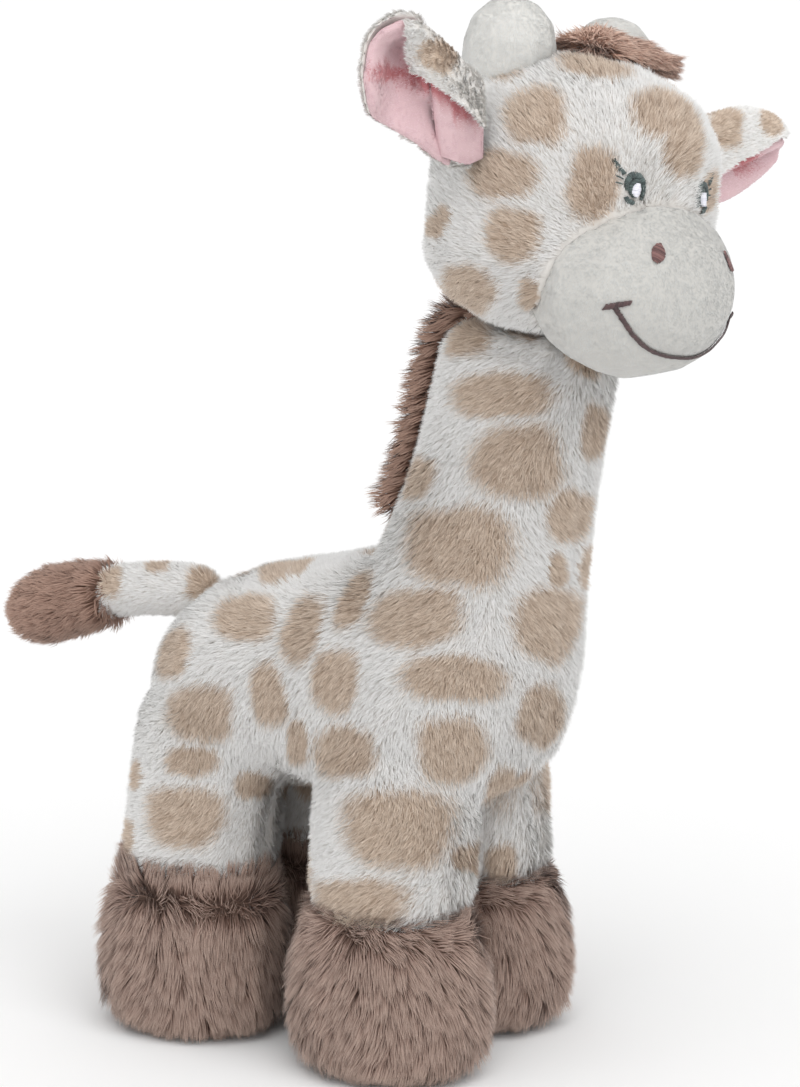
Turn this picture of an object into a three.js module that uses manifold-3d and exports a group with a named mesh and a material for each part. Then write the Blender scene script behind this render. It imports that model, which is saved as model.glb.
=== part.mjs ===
// A standing plush giraffe with long-pile feet, a mane, two soft horns and folded ears.
// Millimetres, +Z up. It faces -Y and its own left side is +X.
// Covers are open shells of cloth, each stuffed with a filling of its own, and every
// seam keeps a small gap. Larger forms cut the smaller ones that are sewn onto them.

import * as THREE from 'three';
import { mergeVertices } from 'three/addons/utils/BufferGeometryUtils.js';
import Module from 'manifold-3d';

const wasm = await Module();
wasm.setup();

// Cloth
const plushThickness = 2.4;
const velboaThickness = 1.2;
const liningThickness = 1.2;
const seamGap = 0.3;

// Torso, from the rump to the chest. Each section is an upright ring.
const torsoSections = [
  { forward: -55, up: 90, wide: 27, tall: 17 },
  { forward: -33, up: 95, wide: 33, tall: 25.5 },
  { forward: -4, up: 98, wide: 34, tall: 29.5 },
  { forward: 20, up: 101, wide: 34, tall: 32 },
  { forward: 46, up: 101, wide: 28, tall: 27 },
];
const torsoSquareness = 2.3;
const rumpRounding = 25;
const torsoFrontRounding = 16;

// Neck and chest, from the breast up into the head. Each section is a level ring.
const neckSections = [
  { up: 68, forward: 30, wide: 27, deep: 25 },
  { up: 86, forward: 31.5, wide: 33.5, deep: 30.5 },
  { up: 104, forward: 36, wide: 33, deep: 31.5 },
  { up: 123, forward: 41, wide: 28.5, deep: 28.5 },
  { up: 140, forward: 46.5, wide: 24.5, deep: 25.5 },
  { up: 160, forward: 52.5, wide: 21.5, deep: 23 },
  { up: 200, forward: 62, wide: 20.5, deep: 21.5 },
];
const breastRounding = 14;
const neckTopRounding = 8;

// Legs and feet, from the sole up to the hip. The sizes are half the width and half the depth.
const legSections = [
  { up: 0, wide: 16.2, deep: 18.8 },
  { up: 7, wide: 21, deep: 25 },
  { up: 22, wide: 22.3, deep: 26.3 },
  { up: 38, wide: 20.2, deep: 23.8 },
  { up: 50, wide: 18.7, deep: 21.9 },
  { up: 72, wide: 18.9, deep: 21.9 },
  { up: 96, wide: 17, deep: 19.5 },
];
const hipRounding = 10;
const footHeight = 44.5;
const soleThickness = 2.2;
const hindLegSize = 0.97;
const legs = [
  { name: 'front_left', across: 23.8, forward: 26.5, hipAcross: 17, hipForward: 28, size: 1 },
  { name: 'front_right', across: -24.5, forward: 32.4, hipAcross: -17, hipForward: 30, size: 1 },
  { name: 'hind_left', across: 24, forward: -33, hipAcross: 16.5, hipForward: -31, size: hindLegSize },
  { name: 'hind_right', across: -24, forward: -33, hipAcross: -16.5, hipForward: -31, size: hindLegSize },
];

// Underbody panel between the legs: an arch, seen from the front
const underbodyFootHalfWidth = 24;
const underbodyBellyHalfWidth = 17;
const underbodyBellyUp = 70;
const underbodyTop = 86;

// Head, with its middle at headCentre, turned and tilted about it
const headCentreForward = 72;
const headCentreUp = 231;
const headTurn = -10;
const headRoll = 9;
const headSections = [
  { up: -36, forward: -1, wide: 31, deep: 29 },
  { up: -18, forward: -0.5, wide: 35, deep: 32 },
  { up: 0, forward: 0, wide: 36, deep: 32.5 },
  { up: 18, forward: -1, wide: 35.3, deep: 32.3 },
  { up: 34, forward: -3, wide: 32.5, deep: 30 },
];
const headSquareness = 2.2;
const chinRounding = 17;
const crownRounding = 20;

// Muzzle, an egg on the lower front of the head
const muzzleForward = 23;
const muzzleUp = -21.5;
const muzzleHalfWidth = 28.8;
const muzzleHalfDepth = 24;
const muzzleHalfHeight = 23.2;

// Horns
const hornAcross = 19;
const hornForward = -9.7;
const hornRadius = 11.6;
const hornBaseUp = 14;
const horns = [
  { name: 'left', side: 1, top: 46 },
  { name: 'right', side: -1, top: 46.6 },
];

// Forelock between the horns
const forelockAcross = 13;
const forelockForward = 0;
const forelockHalfWidth = 17;
const forelockHalfDepth = 9;
const forelockHeight = 5.5;
const forelockSink = 3;

// Mane along the back of the neck
const maneHalfWidth = 7;
const maneHeight = 6;
const maneBottom = 145;
const maneTop = 204;

// Ears: a leaf of cloth folded over along its length, hinged at its rolled root.
// Angles are in degrees; swing turns the leaf forward about the root and raise lifts its tip.
// The fold starts at a share of the cloth's width, and turns by one angle at the root and
// another at the tip.
const earLength = 39;
const earClothWidth = 37.5;
const earRootShare = 1.12;
const earTipShare = 0.3;
const earRollRadius = 3.2;
const earLean = -6;
const earFoldShare = 0.2;
const earRootForward = -1;
const earRootSpan = 14;
const earRootGap = 0.9;
const ears = [
  { name: 'left', side: 1, rootUp: 8, swing: 4, raise: 14, fold: 0.42, rootCurl: 175, tipCurl: 150 },
  { name: 'right', side: -1, rootUp: 11, swing: 0, raise: 13, fold: 0.46, rootCurl: 185, tipCurl: 45 },
];

// Tail, hinged at its rounded root
const tailRadius = 6.5;
const tailLength = 39;
const tailDroop = 6;
const tailRootUp = 110;
const tuftLength = 34;
const tuftRadius = 8.4;
const tuftDroop = 9;

// Face stitching, raised on the cloth
const stitchHeight = 0.8;
const faceShift = -0.9;
const eyeAcross = 11.6;
const eyeUp = 1.6;
const eyeHalfWidth = 3.2;
const eyeHalfHeight = 3.6;
const highlightHalfWidth = 1.3;
const highlightHalfHeight = 1.8;
const nostrilAcross = 12.5;
const nostrilUp = 8.4;
const nostrilHalfWidth = 1.3;
const nostrilHalfHeight = 2.6;
const mouthHalfWidth = 21;
const mouthUp = -5;
const mouthDip = 12.5;
const mouthThickness = 1.3;
const mouthSteps = 6;
const cheekStitchHalfLength = 2.5;
const cheekStitchSlope = 0.8;

// Facets
const bodySides = 20;
const legSides = 12;
const headSides = 18;
const roundSteps = 3;
const smallSides = 12;

const { clamp, lerp, smoothstep } = THREE.MathUtils;
const degrees = Math.PI / 180;
const reach = 400;

function point(across, forward, up) {
  return new THREE.Vector3(across, -forward, up);
}

function outward(geometry) {
  const place = geometry.attributes.position;
  const index = Array.from(geometry.index.array);
  const [a, b, c] = [new THREE.Vector3(), new THREE.Vector3(), new THREE.Vector3()];
  let volume = 0;
  for (let i = 0; i < index.length; i += 3) {
    a.fromBufferAttribute(place, index[i]);
    b.fromBufferAttribute(place, index[i + 1]);
    c.fromBufferAttribute(place, index[i + 2]);
    volume += a.dot(b.cross(c));
  }
  if (volume < 0) {
    for (let i = 0; i < index.length; i += 3) {
      [index[i], index[i + 1]] = [index[i + 1], index[i]];
    }
  }
  geometry.setIndex(index);
  return geometry;
}

// Skins a row of rings that have the same number of points. Each end is closed by a fan
// about its middle point. The rings of a strip have no middles, and are closed straight across.
function skinRings(rings, middles = []) {
  const sides = rings[0].length;
  const geometry = new THREE.BufferGeometry().setFromPoints([...middles, ...rings.flat()]);
  const index = [];
  const at = (row, side) => middles.length + row * sides + (side % sides);
  const last = rings.length - 1;
  for (let side = 0; side < sides; side += 1) {
    for (let row = 0; row < last; row += 1) {
      index.push(at(row, side), at(row, side + 1), at(row + 1, side));
      index.push(at(row, side + 1), at(row + 1, side + 1), at(row + 1, side));
    }
    if (middles.length > 0) {
      index.push(0, at(0, side + 1), at(0, side));
      index.push(1, at(last, side), at(last, side + 1));
    } else if (side < sides / 2 - 1) {
      const far = sides - 1 - side;
      index.push(at(0, side + 1), at(0, side), at(0, far));
      index.push(at(0, side + 1), at(0, far), at(0, far - 1));
      index.push(at(last, side), at(last, side + 1), at(last, far - 1));
      index.push(at(last, side), at(last, far - 1), at(last, far));
    }
  }
  geometry.setIndex(index);
  return outward(geometry);
}

// Reads a list of sections at one place, on a smooth curve through them.
function sectionAt(sections, key, place) {
  let i = 0;
  while (i < sections.length - 2 && place > sections[i + 1][key]) {
    i += 1;
  }
  const from = sections[i];
  const to = sections[i + 1];
  const before = sections[Math.max(i - 1, 0)];
  const after = sections[Math.min(i + 2, sections.length - 1)];
  const span = to[key] - from[key];
  const t = clamp((place - from[key]) / span, 0, 1);
  const read = {};
  for (const field of Object.keys(from)) {
    const leave = (span * (to[field] - before[field])) / (to[key] - before[key]);
    const arrive = (span * (after[field] - from[field])) / (after[key] - from[key]);
    read[field] = (2 * t ** 3 - 3 * t ** 2 + 1) * from[field]
      + (t ** 3 - 2 * t ** 2 + t) * leave
      + (3 * t ** 2 - 2 * t ** 3) * to[field]
      + (t ** 3 - t ** 2) * arrive;
  }
  return read;
}

// Places from one end to the other: by even angles in the rounded ends, by even steps between.
function placesAlong(start, end, startRounding, endRounding, steps) {
  const places = [];
  const addRound = (i, at, turn) => {
    const angle = (i / roundSteps) * (Math.PI / 2);
    places.push({ place: at(1 - Math.cos(angle)), swell: Math.sin(angle), turn });
  };
  if (startRounding > 0) {
    for (let i = 1; i <= roundSteps; i += 1) {
      addRound(i, (share) => start + startRounding * share);
    }
  } else {
    places.push({ place: start, swell: 1 });
  }
  const first = start + startRounding;
  const last = end - endRounding;
  for (let i = 1; i < steps; i += 1) {
    places.push({ place: first + ((last - first) * i) / steps, swell: 1 });
  }
  if (endRounding > 0) {
    for (let i = roundSteps; i >= 1; i -= 1) {
      addRound(i, (share) => end - endRounding * share);
    }
  } else {
    places.push({ place: end, swell: 1 });
  }
  return places;
}

function roundedPower(value, power) {
  return Math.sign(value) * Math.abs(value) ** (2 / power);
}

// A stuffed form through its sections, drawn in all round by the inset.
// spot() gives the middle of the section at a place, and grow() the two half sizes.
function stuffed(form, inset) {
  const shrink = (rounding) => (rounding > 0 ? Math.max(rounding - inset, 1) : 0);
  const from = form.start + (form.startRounding > 0 ? inset : 0);
  const to = form.end - (form.endRounding > 0 ? inset : 0);
  const places = placesAlong(from, to, shrink(form.startRounding), shrink(form.endRounding), form.steps);
  const rings = places.map(({ place, swell }) => {
    const middle = form.spot(place);
    const [across, along] = form.grow(place).map((half) => (half - inset) * swell);
    const ring = [];
    for (let side = 0; side < form.sides; side += 1) {
      const angle = ((side + 0.5) / form.sides) * 2 * Math.PI;
      const a = across * roundedPower(Math.cos(angle), form.power);
      const b = along * roundedPower(Math.sin(angle), form.power);
      ring.push(form.upright
        ? point(middle.across + a, middle.forward, middle.up + b)
        : point(middle.across + a, middle.forward + b, middle.up));
    }
    return ring;
  });
  const startMiddle = form.spot(from);
  const endMiddle = form.spot(to);
  return skinRings(rings, [
    point(startMiddle.across, startMiddle.forward, startMiddle.up),
    point(endMiddle.across, endMiddle.forward, endMiddle.up),
  ]);
}

function solidOf(geometry) {
  const bare = geometry.clone();
  bare.deleteAttribute('normal');
  bare.deleteAttribute('uv');
  const merged = mergeVertices(bare, 1e-4);
  return new wasm.Manifold(new wasm.Mesh({
    numProp: 3,
    vertProperties: new Float32Array(merged.attributes.position.array),
    triVerts: new Uint32Array(merged.index.array),
  }));
}

function geometryOf(solid) {
  const mesh = solid.getMesh();
  const geometry = new THREE.BufferGeometry();
  geometry.setAttribute('position', new THREE.BufferAttribute(mesh.vertProperties, 3));
  geometry.setIndex(new THREE.BufferAttribute(mesh.triVerts, 1));
  return geometry;
}

function join(solids) {
  return solids.reduce((whole, solid) => whole.add(solid));
}

function cut(solid, tools) {
  return tools.reduce((rest, tool) => rest.subtract(tool), solid);
}

function moved(geometry, matrix) {
  return geometry.clone().applyMatrix4(matrix);
}

// A wide block that fills everything between two places along one axis
function slab(axis, from, to) {
  const size = { x: 2 * reach, y: 2 * reach, z: 2 * reach, [axis]: to - from };
  const block = new THREE.BoxGeometry(size.x, size.y, size.z);
  const middle = { x: 0, y: 0, z: 0, [axis]: (from + to) / 2 };
  block.translate(middle.x, middle.y, middle.z);
  return solidOf(block);
}

const parts = new THREE.Group();

const colours = {
  plush: { color: 0xe3e3df, roughness: 0.95 },
  pile: { color: 0x967a6e, roughness: 0.95 },
  mane: { color: 0x8c6960, roughness: 0.95 },
  velboa: { color: 0xeae7db, roughness: 0.9 },
  pink: { color: 0xebbec3, roughness: 0.9 },
  thread: { color: 0x2f3a38, roughness: 0.6 },
  brownThread: { color: 0x54353a, roughness: 0.6 },
  whiteThread: { color: 0xf4f2f6, roughness: 0.5 },
  fibre: { color: 0xf7f7f5, roughness: 1 },
};

function addPiece(name, geometry, colour, group = parts) {
  const material = new THREE.MeshStandardMaterial({ ...colours[colour], metalness: 0 });
  const piece = new THREE.Mesh(geometry, material);
  piece.name = name;
  group.add(piece);
  return piece;
}

// Torso, neck and legs as forms
function torsoForm(inset) {
  const last = torsoSections.length - 1;
  return stuffed({
    start: torsoSections[0].forward,
    end: torsoSections[last].forward,
    startRounding: rumpRounding,
    endRounding: torsoFrontRounding,
    steps: 6,
    sides: bodySides,
    power: torsoSquareness,
    upright: true,
    spot: (place) => ({ across: 0, forward: place, up: sectionAt(torsoSections, 'forward', place).up }),
    grow: (place) => {
      const section = sectionAt(torsoSections, 'forward', place);
      return [section.wide, section.tall];
    },
  }, inset);
}

function neckForm(inset) {
  const last = neckSections.length - 1;
  return stuffed({
    start: neckSections[0].up,
    end: neckSections[last].up,
    startRounding: breastRounding,
    endRounding: neckTopRounding,
    steps: 9,
    sides: bodySides,
    power: 2.1,
    upright: false,
    spot: (place) => ({ across: 0, forward: sectionAt(neckSections, 'up', place).forward, up: place }),
    grow: (place) => {
      const section = sectionAt(neckSections, 'up', place);
      return [section.wide, section.deep];
    },
  }, inset);
}

function legForm(leg, inset) {
  const last = legSections.length - 1;
  const top = legSections[last].up;
  return stuffed({
    start: 0,
    end: top,
    startRounding: 0,
    endRounding: hipRounding,
    steps: 9,
    sides: legSides,
    power: 2,
    upright: false,
    spot: (place) => {
      const share = smoothstep(place, 0.4 * footHeight, top);
      return {
        across: lerp(leg.across, leg.hipAcross, share),
        forward: lerp(leg.forward, leg.hipForward, share),
        up: place,
      };
    },
    grow: (place) => {
      const section = sectionAt(legSections, 'up', place);
      return [section.wide * leg.size, section.deep * leg.size];
    },
  }, inset);
}

// Head, muzzle and horns as forms, in the head's own place
function headForm(inset) {
  const last = headSections.length - 1;
  return stuffed({
    start: headSections[0].up,
    end: headSections[last].up,
    startRounding: chinRounding,
    endRounding: crownRounding,
    steps: 2,
    sides: headSides,
    power: headSquareness,
    upright: false,
    spot: (place) => ({ across: 0, forward: sectionAt(headSections, 'up', place).forward, up: place }),
    grow: (place) => {
      const section = sectionAt(headSections, 'up', place);
      return [section.wide, section.deep];
    },
  }, inset);
}

function muzzleForm(inset) {
  return stuffed({
    start: muzzleForward - muzzleHalfDepth,
    end: muzzleForward + muzzleHalfDepth,
    startRounding: muzzleHalfDepth,
    endRounding: muzzleHalfDepth,
    steps: 1,
    sides: headSides,
    power: 2,
    upright: true,
    spot: (place) => ({ across: 0, forward: place, up: muzzleUp }),
    grow: () => [muzzleHalfWidth, muzzleHalfHeight],
  }, inset);
}

function hornForm(horn, inset) {
  return stuffed({
    start: hornBaseUp,
    end: horn.top,
    startRounding: 0,
    endRounding: hornRadius,
    steps: 3,
    sides: smallSides,
    power: 2,
    upright: false,
    spot: (place) => ({ across: horn.side * hornAcross, forward: hornForward, up: place }),
    grow: () => [hornRadius, hornRadius],
  }, inset);
}

const headMatrix = new THREE.Matrix4().compose(
  point(0, headCentreForward, headCentreUp),
  new THREE.Quaternion().setFromEuler(
    new THREE.Euler(0, headRoll * degrees, headTurn * degrees, 'ZYX'),
  ),
  new THREE.Vector3(1, 1, 1),
);
const head = new THREE.Group();
head.applyMatrix4(headMatrix);
parts.add(head);

const headRoom = [headForm(-seamGap), muzzleForm(-seamGap)]
  .map((form) => solidOf(moved(form, headMatrix)));

// Body cover: two side panels and the underbody panel, cut from one shell
function bodySolid(inset) {
  const forms = [torsoForm(inset), neckForm(inset), ...legs.map((leg) => legForm(leg, inset))];
  return join(forms.map(solidOf));
}

function underbodyBlock(grow) {
  const outline = new THREE.Shape();
  outline.moveTo(-underbodyFootHalfWidth - grow, -reach);
  outline.lineTo(-underbodyFootHalfWidth - grow, footHeight);
  outline.lineTo(-underbodyBellyHalfWidth - grow, underbodyBellyUp);
  outline.quadraticCurveTo(
    -underbodyBellyHalfWidth - grow,
    underbodyTop + grow,
    0,
    underbodyTop + grow,
  );
  outline.quadraticCurveTo(
    underbodyBellyHalfWidth + grow,
    underbodyTop + grow,
    underbodyBellyHalfWidth + grow,
    underbodyBellyUp,
  );
  outline.lineTo(underbodyFootHalfWidth + grow, footHeight);
  outline.lineTo(underbodyFootHalfWidth + grow, -reach);
  outline.closePath();
  const block = new THREE.ExtrudeGeometry(outline, {
    depth: 2 * reach,
    bevelEnabled: false,
    curveSegments: 5,
  });
  block.rotateX(Math.PI / 2);
  block.translate(0, reach, 0);
  return solidOf(block);
}

const halfGap = seamGap / 2;
const belowSeam = slab('z', -reach, footHeight + halfGap);
const aboveSeam = slab('z', footHeight - halfGap, reach);
const leftHalf = slab('x', halfGap, reach);
const rightHalf = slab('x', -reach, -halfGap);

const bodyShell = cut(bodySolid(0), [bodySolid(plushThickness), belowSeam, ...headRoom]);
const sideShell = cut(bodyShell, [underbodyBlock(halfGap)]);
addPiece('side_panel_left', geometryOf(sideShell.intersect(leftHalf)), 'plush');
addPiece('side_panel_right', geometryOf(sideShell.intersect(rightHalf)), 'plush');
addPiece('underbody_panel', geometryOf(bodyShell.intersect(underbodyBlock(-halfGap))), 'plush');

// Fillings of the body, each cut by the larger ones
const fillInset = plushThickness + seamGap;
const torsoRoom = solidOf(torsoForm(fillInset - seamGap));
const neckRoom = solidOf(neckForm(fillInset - seamGap));
addPiece('torso_filling', torsoForm(fillInset), 'fibre');
const neckInside = cut(solidOf(neckForm(fillInset)), [torsoRoom, ...headRoom]);
addPiece('neck_filling', geometryOf(neckInside), 'fibre');

const soleSlab = slab('z', 0, soleThickness);
const footSlab = slab('z', soleThickness + seamGap, footHeight - halfGap);
for (const leg of legs) {
  const inside = solidOf(legForm(leg, fillInset));
  const legInside = cut(inside, [belowSeam, torsoRoom, neckRoom]);
  addPiece(`leg_filling_${leg.name}`, geometryOf(legInside), 'fibre');
  addPiece(`foot_filling_${leg.name}`, geometryOf(inside.intersect(footSlab)), 'fibre');
  addPiece(`foot_sole_${leg.name}`, geometryOf(inside.intersect(soleSlab)), 'pile');
  const shell = cut(solidOf(legForm(leg, 0)), [
    solidOf(legForm(leg, plushThickness)),
    aboveSeam,
    slab('z', -reach, seamGap),
  ]);
  addPiece(`foot_cover_${leg.name}`, geometryOf(shell), 'pile');
}

// Mane, a strip of pile on the back of the neck
const maneBand = slab('x', -maneHalfWidth, maneHalfWidth)
  .intersect(slab('z', maneBottom, maneTop))
  .intersect(slab('y', -neckSections[neckSections.length - 1].forward, reach));
const mane = cut(solidOf(neckForm(-seamGap - maneHeight)), [solidOf(neckForm(-seamGap)), ...headRoom]);
addPiece('mane_strip', geometryOf(mane.intersect(maneBand)), 'mane');

// Head cover in two panels, and its filling
const headShell = cut(solidOf(headForm(0)), [solidOf(headForm(plushThickness))]);
addPiece('head_panel_left', geometryOf(headShell.intersect(leftHalf)), 'plush', head);
addPiece('head_panel_right', geometryOf(headShell.intersect(rightHalf)), 'plush', head);
addPiece('head_filling', headForm(fillInset), 'fibre', head);

const headCut = solidOf(headForm(-seamGap));
const smallFillInset = velboaThickness + seamGap;
const muzzleShell = cut(solidOf(muzzleForm(0)), [solidOf(muzzleForm(velboaThickness)), headCut]);
const muzzleInside = cut(solidOf(muzzleForm(smallFillInset)), [headCut]);
addPiece('muzzle_cover', geometryOf(muzzleShell), 'velboa', head);
addPiece('muzzle_filling', geometryOf(muzzleInside), 'fibre', head);
const hornRoom = [];
for (const horn of horns) {
  const cover = cut(solidOf(hornForm(horn, 0)), [solidOf(hornForm(horn, velboaThickness)), headCut]);
  const filling = cut(solidOf(hornForm(horn, smallFillInset)), [headCut]);
  addPiece(`horn_cover_${horn.name}`, geometryOf(cover), 'velboa', head);
  addPiece(`horn_filling_${horn.name}`, geometryOf(filling), 'fibre', head);
  hornRoom.push(solidOf(hornForm(horn, -seamGap)));
}

// Forelock, a low mound of pile on the crown between the horns
const crownUp = headSections[headSections.length - 1].up;
const mound = new THREE.SphereGeometry(1, 12, 8);
mound.scale(forelockHalfWidth, forelockHalfDepth, forelockHeight + forelockSink);
mound.translate(forelockAcross, -forelockForward, crownUp - forelockSink);
addPiece('forelock', geometryOf(cut(solidOf(mound), [headCut, ...hornRoom])), 'mane', head);

// A block that runs straight forward from an outline drawn as seen from the front
function frontBlock(outline) {
  const block = new THREE.ExtrudeGeometry(outline, {
    depth: reach,
    bevelEnabled: false,
    curveSegments: 6,
  });
  block.rotateX(Math.PI / 2);
  block.translate(0, -muzzleForward, 0);
  return solidOf(block);
}

function ovalBlock(across, up, halfWidth, halfHeight) {
  const outline = new THREE.Shape();
  outline.absellipse(across, up, halfWidth, halfHeight, 0, 2 * Math.PI);
  return frontBlock(outline);
}

// Stitching: a thin raised layer that follows the cloth under it
function stitchLayer(form) {
  return cut(solidOf(form(-seamGap - stitchHeight)), [solidOf(form(-seamGap))]);
}

const headStitching = cut(stitchLayer(headForm), [solidOf(muzzleForm(-seamGap))]);
const muzzleStitching = stitchLayer(muzzleForm);
for (const [name, side] of [['left', 1], ['right', -1]]) {
  const eyeMiddle = faceShift + side * eyeAcross;
  const eye = ovalBlock(eyeMiddle, eyeUp, eyeHalfWidth, eyeHalfHeight);
  const highlight = ovalBlock(eyeMiddle, eyeUp, highlightHalfWidth, highlightHalfHeight);
  const socket = ovalBlock(
    eyeMiddle,
    eyeUp,
    highlightHalfWidth + seamGap,
    highlightHalfHeight + seamGap,
  );
  const eyeRing = headStitching.intersect(eye).subtract(socket);
  addPiece(`eye_stitching_${name}`, geometryOf(eyeRing), 'thread', head);
  addPiece(`eye_highlight_${name}`, geometryOf(headStitching.intersect(highlight)), 'whiteThread', head);
  const nostrilMiddle = faceShift + side * nostrilAcross;
  const nostril = ovalBlock(nostrilMiddle, muzzleUp + nostrilUp, nostrilHalfWidth, nostrilHalfHeight);
  addPiece(`nostril_${name}`, geometryOf(muzzleStitching.intersect(nostril)), 'brownThread', head);
}

// The smile, an arc of stitching with a short cross stitch at each end
function smileLine(offset) {
  const points = [];
  for (let i = -mouthSteps; i <= mouthSteps; i += 1) {
    const share = i / mouthSteps;
    points.push(new THREE.Vector2(
      faceShift + mouthHalfWidth * share,
      muzzleUp + mouthUp - mouthDip * (1 - Math.abs(share) ** 3) + offset,
    ));
  }
  return points;
}
const smile = new THREE.Shape([
  ...smileLine(mouthThickness / 2),
  ...smileLine(-mouthThickness / 2).reverse(),
]);

function cheekStitch(side) {
  const corner = (out, offset) => new THREE.Vector2(
    faceShift + side * (mouthHalfWidth + out * cheekStitchHalfLength),
    muzzleUp + mouthUp - out * cheekStitchSlope + offset,
  );
  const half = mouthThickness / 2;
  return frontBlock(new THREE.Shape([
    corner(-1, half),
    corner(1, half),
    corner(1, -half),
    corner(-1, -half),
  ]));
}
const mouth = join([frontBlock(smile), cheekStitch(-1), cheekStitch(1)]);
addPiece('mouth_stitching', geometryOf(muzzleStitching.intersect(mouth)), 'brownThread', head);

// The last place where a straight line leaves a form, and the way the surface faces there
function surfaceFrom(geometry, start, direction) {
  const skin = new THREE.Mesh(geometry, new THREE.MeshBasicMaterial({ side: THREE.DoubleSide }));
  const hits = new THREE.Raycaster(start, direction).intersectObject(skin);
  const hit = hits[hits.length - 1];
  const facing = hit.face.normal.clone();
  return { point: hit.point, facing: facing.dot(direction) < 0 ? facing.negate() : facing };
}

// How wide the ear's cloth is at a share of its length
function earWidth(share) {
  const widest = 0.45;
  if (share < widest) {
    return earClothWidth * lerp(earRootShare, 1, smoothstep(share, 0, widest));
  }
  const past = (share - widest) / (1 - widest);
  return earClothWidth * Math.sqrt(1 - (1 - earTipShare ** 2) * past ** 1.8);
}

// The fold across the ear, from its lower edge up and over to the free edge in front.
// side moves the line off the middle of the fold, to the plush or to the lining.
function earFold(ear, share, side, trim) {
  const steps = 13;
  const width = earWidth(share) - 2 * trim;
  const curl = lerp(ear.rootCurl, ear.tipCurl, smoothstep(share, 0.45, 0.9));
  const fold = ear.fold + 0.1 * smoothstep(share, 0, 0.5);
  const headingAt = (i) => {
    const turned = smoothstep(i / steps, fold, fold + earFoldShare);
    return (earLean + curl * turned) * degrees;
  };
  const line = [];
  let forward = 0;
  let up = 0;
  for (let i = 0; i <= steps; i += 1) {
    const heading = headingAt(i);
    line.push({ forward: forward - side * Math.cos(heading), up: up + side * Math.sin(heading) });
    const between = (heading + headingAt(i + 1)) / 2;
    forward += (width / steps) * Math.sin(between);
    up += (width / steps) * Math.cos(between);
  }
  return line;
}

function earLayer(ear, near, far, startShare, trim) {
  const steps = 8;
  const rings = [];
  for (let i = 0; i <= steps; i += 1) {
    const share = lerp(startShare, 1 - trim / earLength, i / steps);
    const whole = earFold(ear, share, 0, 0);
    const ups = whole.map((spot) => spot.up);
    const forwards = whole.map((spot) => spot.forward);
    const midUp = (Math.min(...ups) + Math.max(...ups)) / 2;
    const midForward = (Math.min(...forwards) + Math.max(...forwards)) / 2;
    const lift = share * earLength * Math.tan(ear.raise * degrees);
    const place = (spot) => point(share * earLength, spot.forward - midForward, spot.up - midUp + lift);
    const front = earFold(ear, share, near, trim).map(place);
    const back = earFold(ear, share, far, trim).map(place);
    rings.push([...front, ...back.reverse()]);
  }
  return skinRings(rings);
}

// Each ear turns about the long side of its rolled root
const liningStart = (earRollRadius + 1.5) / earLength;
for (const ear of ears) {
  const aside = new THREE.Vector3(ear.side, 0, 0);
  const rootAt = (up) => surfaceFrom(headForm(0), point(0, earRootForward, up), aside).point;
  const highRoot = rootAt(ear.rootUp + earRootSpan / 2);
  const lowRoot = rootAt(ear.rootUp - earRootSpan / 2);
  const axis = highRoot.sub(lowRoot).setY(0).normalize();
  const outwards = aside.clone().projectOnPlane(axis).normalize();
  const across = axis.clone().cross(outwards);
  const hinge = new THREE.Group();
  hinge.applyMatrix4(new THREE.Matrix4().makeBasis(outwards, across, axis)
    .setPosition(rootAt(ear.rootUp).addScaledVector(outwards, earRollRadius + earRootGap)));
  head.add(hinge);
  const turn = new THREE.Matrix4().makeRotationZ(-ear.swing * ear.side * degrees);
  const mirror = new THREE.Matrix4().makeScale(1, ear.side, 1);
  const rootWidth = earClothWidth * earRootShare;
  const roll = new THREE.CapsuleGeometry(earRollRadius, 0.4 * rootWidth - earRollRadius, 2, 9);
  roll.rotateX(Math.PI / 2);
  const place = (geometry) => outward(moved(geometry, turn.clone().multiply(mirror)));
  const leaf = place(earLayer(ear, halfGap, halfGap + plushThickness, 0.03, 0));
  const lining = place(earLayer(ear, -halfGap - liningThickness, -halfGap, liningStart, 1));
  addPiece(`ear_plush_${ear.name}`, geometryOf(solidOf(leaf).add(solidOf(roll))), 'plush', hinge);
  addPiece(`ear_lining_${ear.name}`, lining, 'pink', hinge);
}

// Tail: a stuffed tube with a round root, and its tuft
function tailForm(inset) {
  return stuffed({
    start: -tailLength,
    end: tailRadius,
    startRounding: 0,
    endRounding: tailRadius,
    steps: 5,
    sides: smallSides,
    power: 2,
    upright: true,
    spot: (place) => {
      const past = Math.min(place / tailLength, 0);
      return { across: 0, forward: place, up: -tailDroop * past ** 2 };
    },
    grow: () => [tailRadius, tailRadius],
  }, inset);
}

function tuftForm() {
  return stuffed({
    start: -tailLength - tuftLength,
    end: -tailLength - seamGap,
    startRounding: 12,
    endRounding: 0,
    steps: 4,
    sides: smallSides,
    power: 2,
    upright: true,
    spot: (place) => {
      const past = (-place - tailLength) / tuftLength;
      return { across: 0, forward: place, up: -tailDroop - tuftDroop * past };
    },
    grow: (place) => {
      const past = clamp((-place - tailLength) / tuftLength, 0, 1);
      const half = lerp(tailRadius, tuftRadius, smoothstep(past, 0, 0.5));
      return [half, half];
    },
  }, 0);
}

const tailRoot = surfaceFrom(torsoForm(0), point(0, 0, tailRootUp), point(0, -1, 0));
const tail = new THREE.Group();
tail.position.copy(tailRoot.point).addScaledVector(tailRoot.facing, tailRadius + seamGap);
parts.add(tail);
const tailShell = cut(solidOf(tailForm(0)), [
  solidOf(tailForm(plushThickness)),
  slab('y', tailLength - seamGap, reach),
]);
const tailInside = cut(solidOf(tailForm(fillInset)), [slab('y', tailLength - 1, reach)]);
addPiece('tail_cover', geometryOf(tailShell), 'plush', tail);
addPiece('tail_filling', geometryOf(tailInside), 'fibre', tail);
addPiece('tail_tuft', tuftForm(), 'pile', tail);

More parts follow.
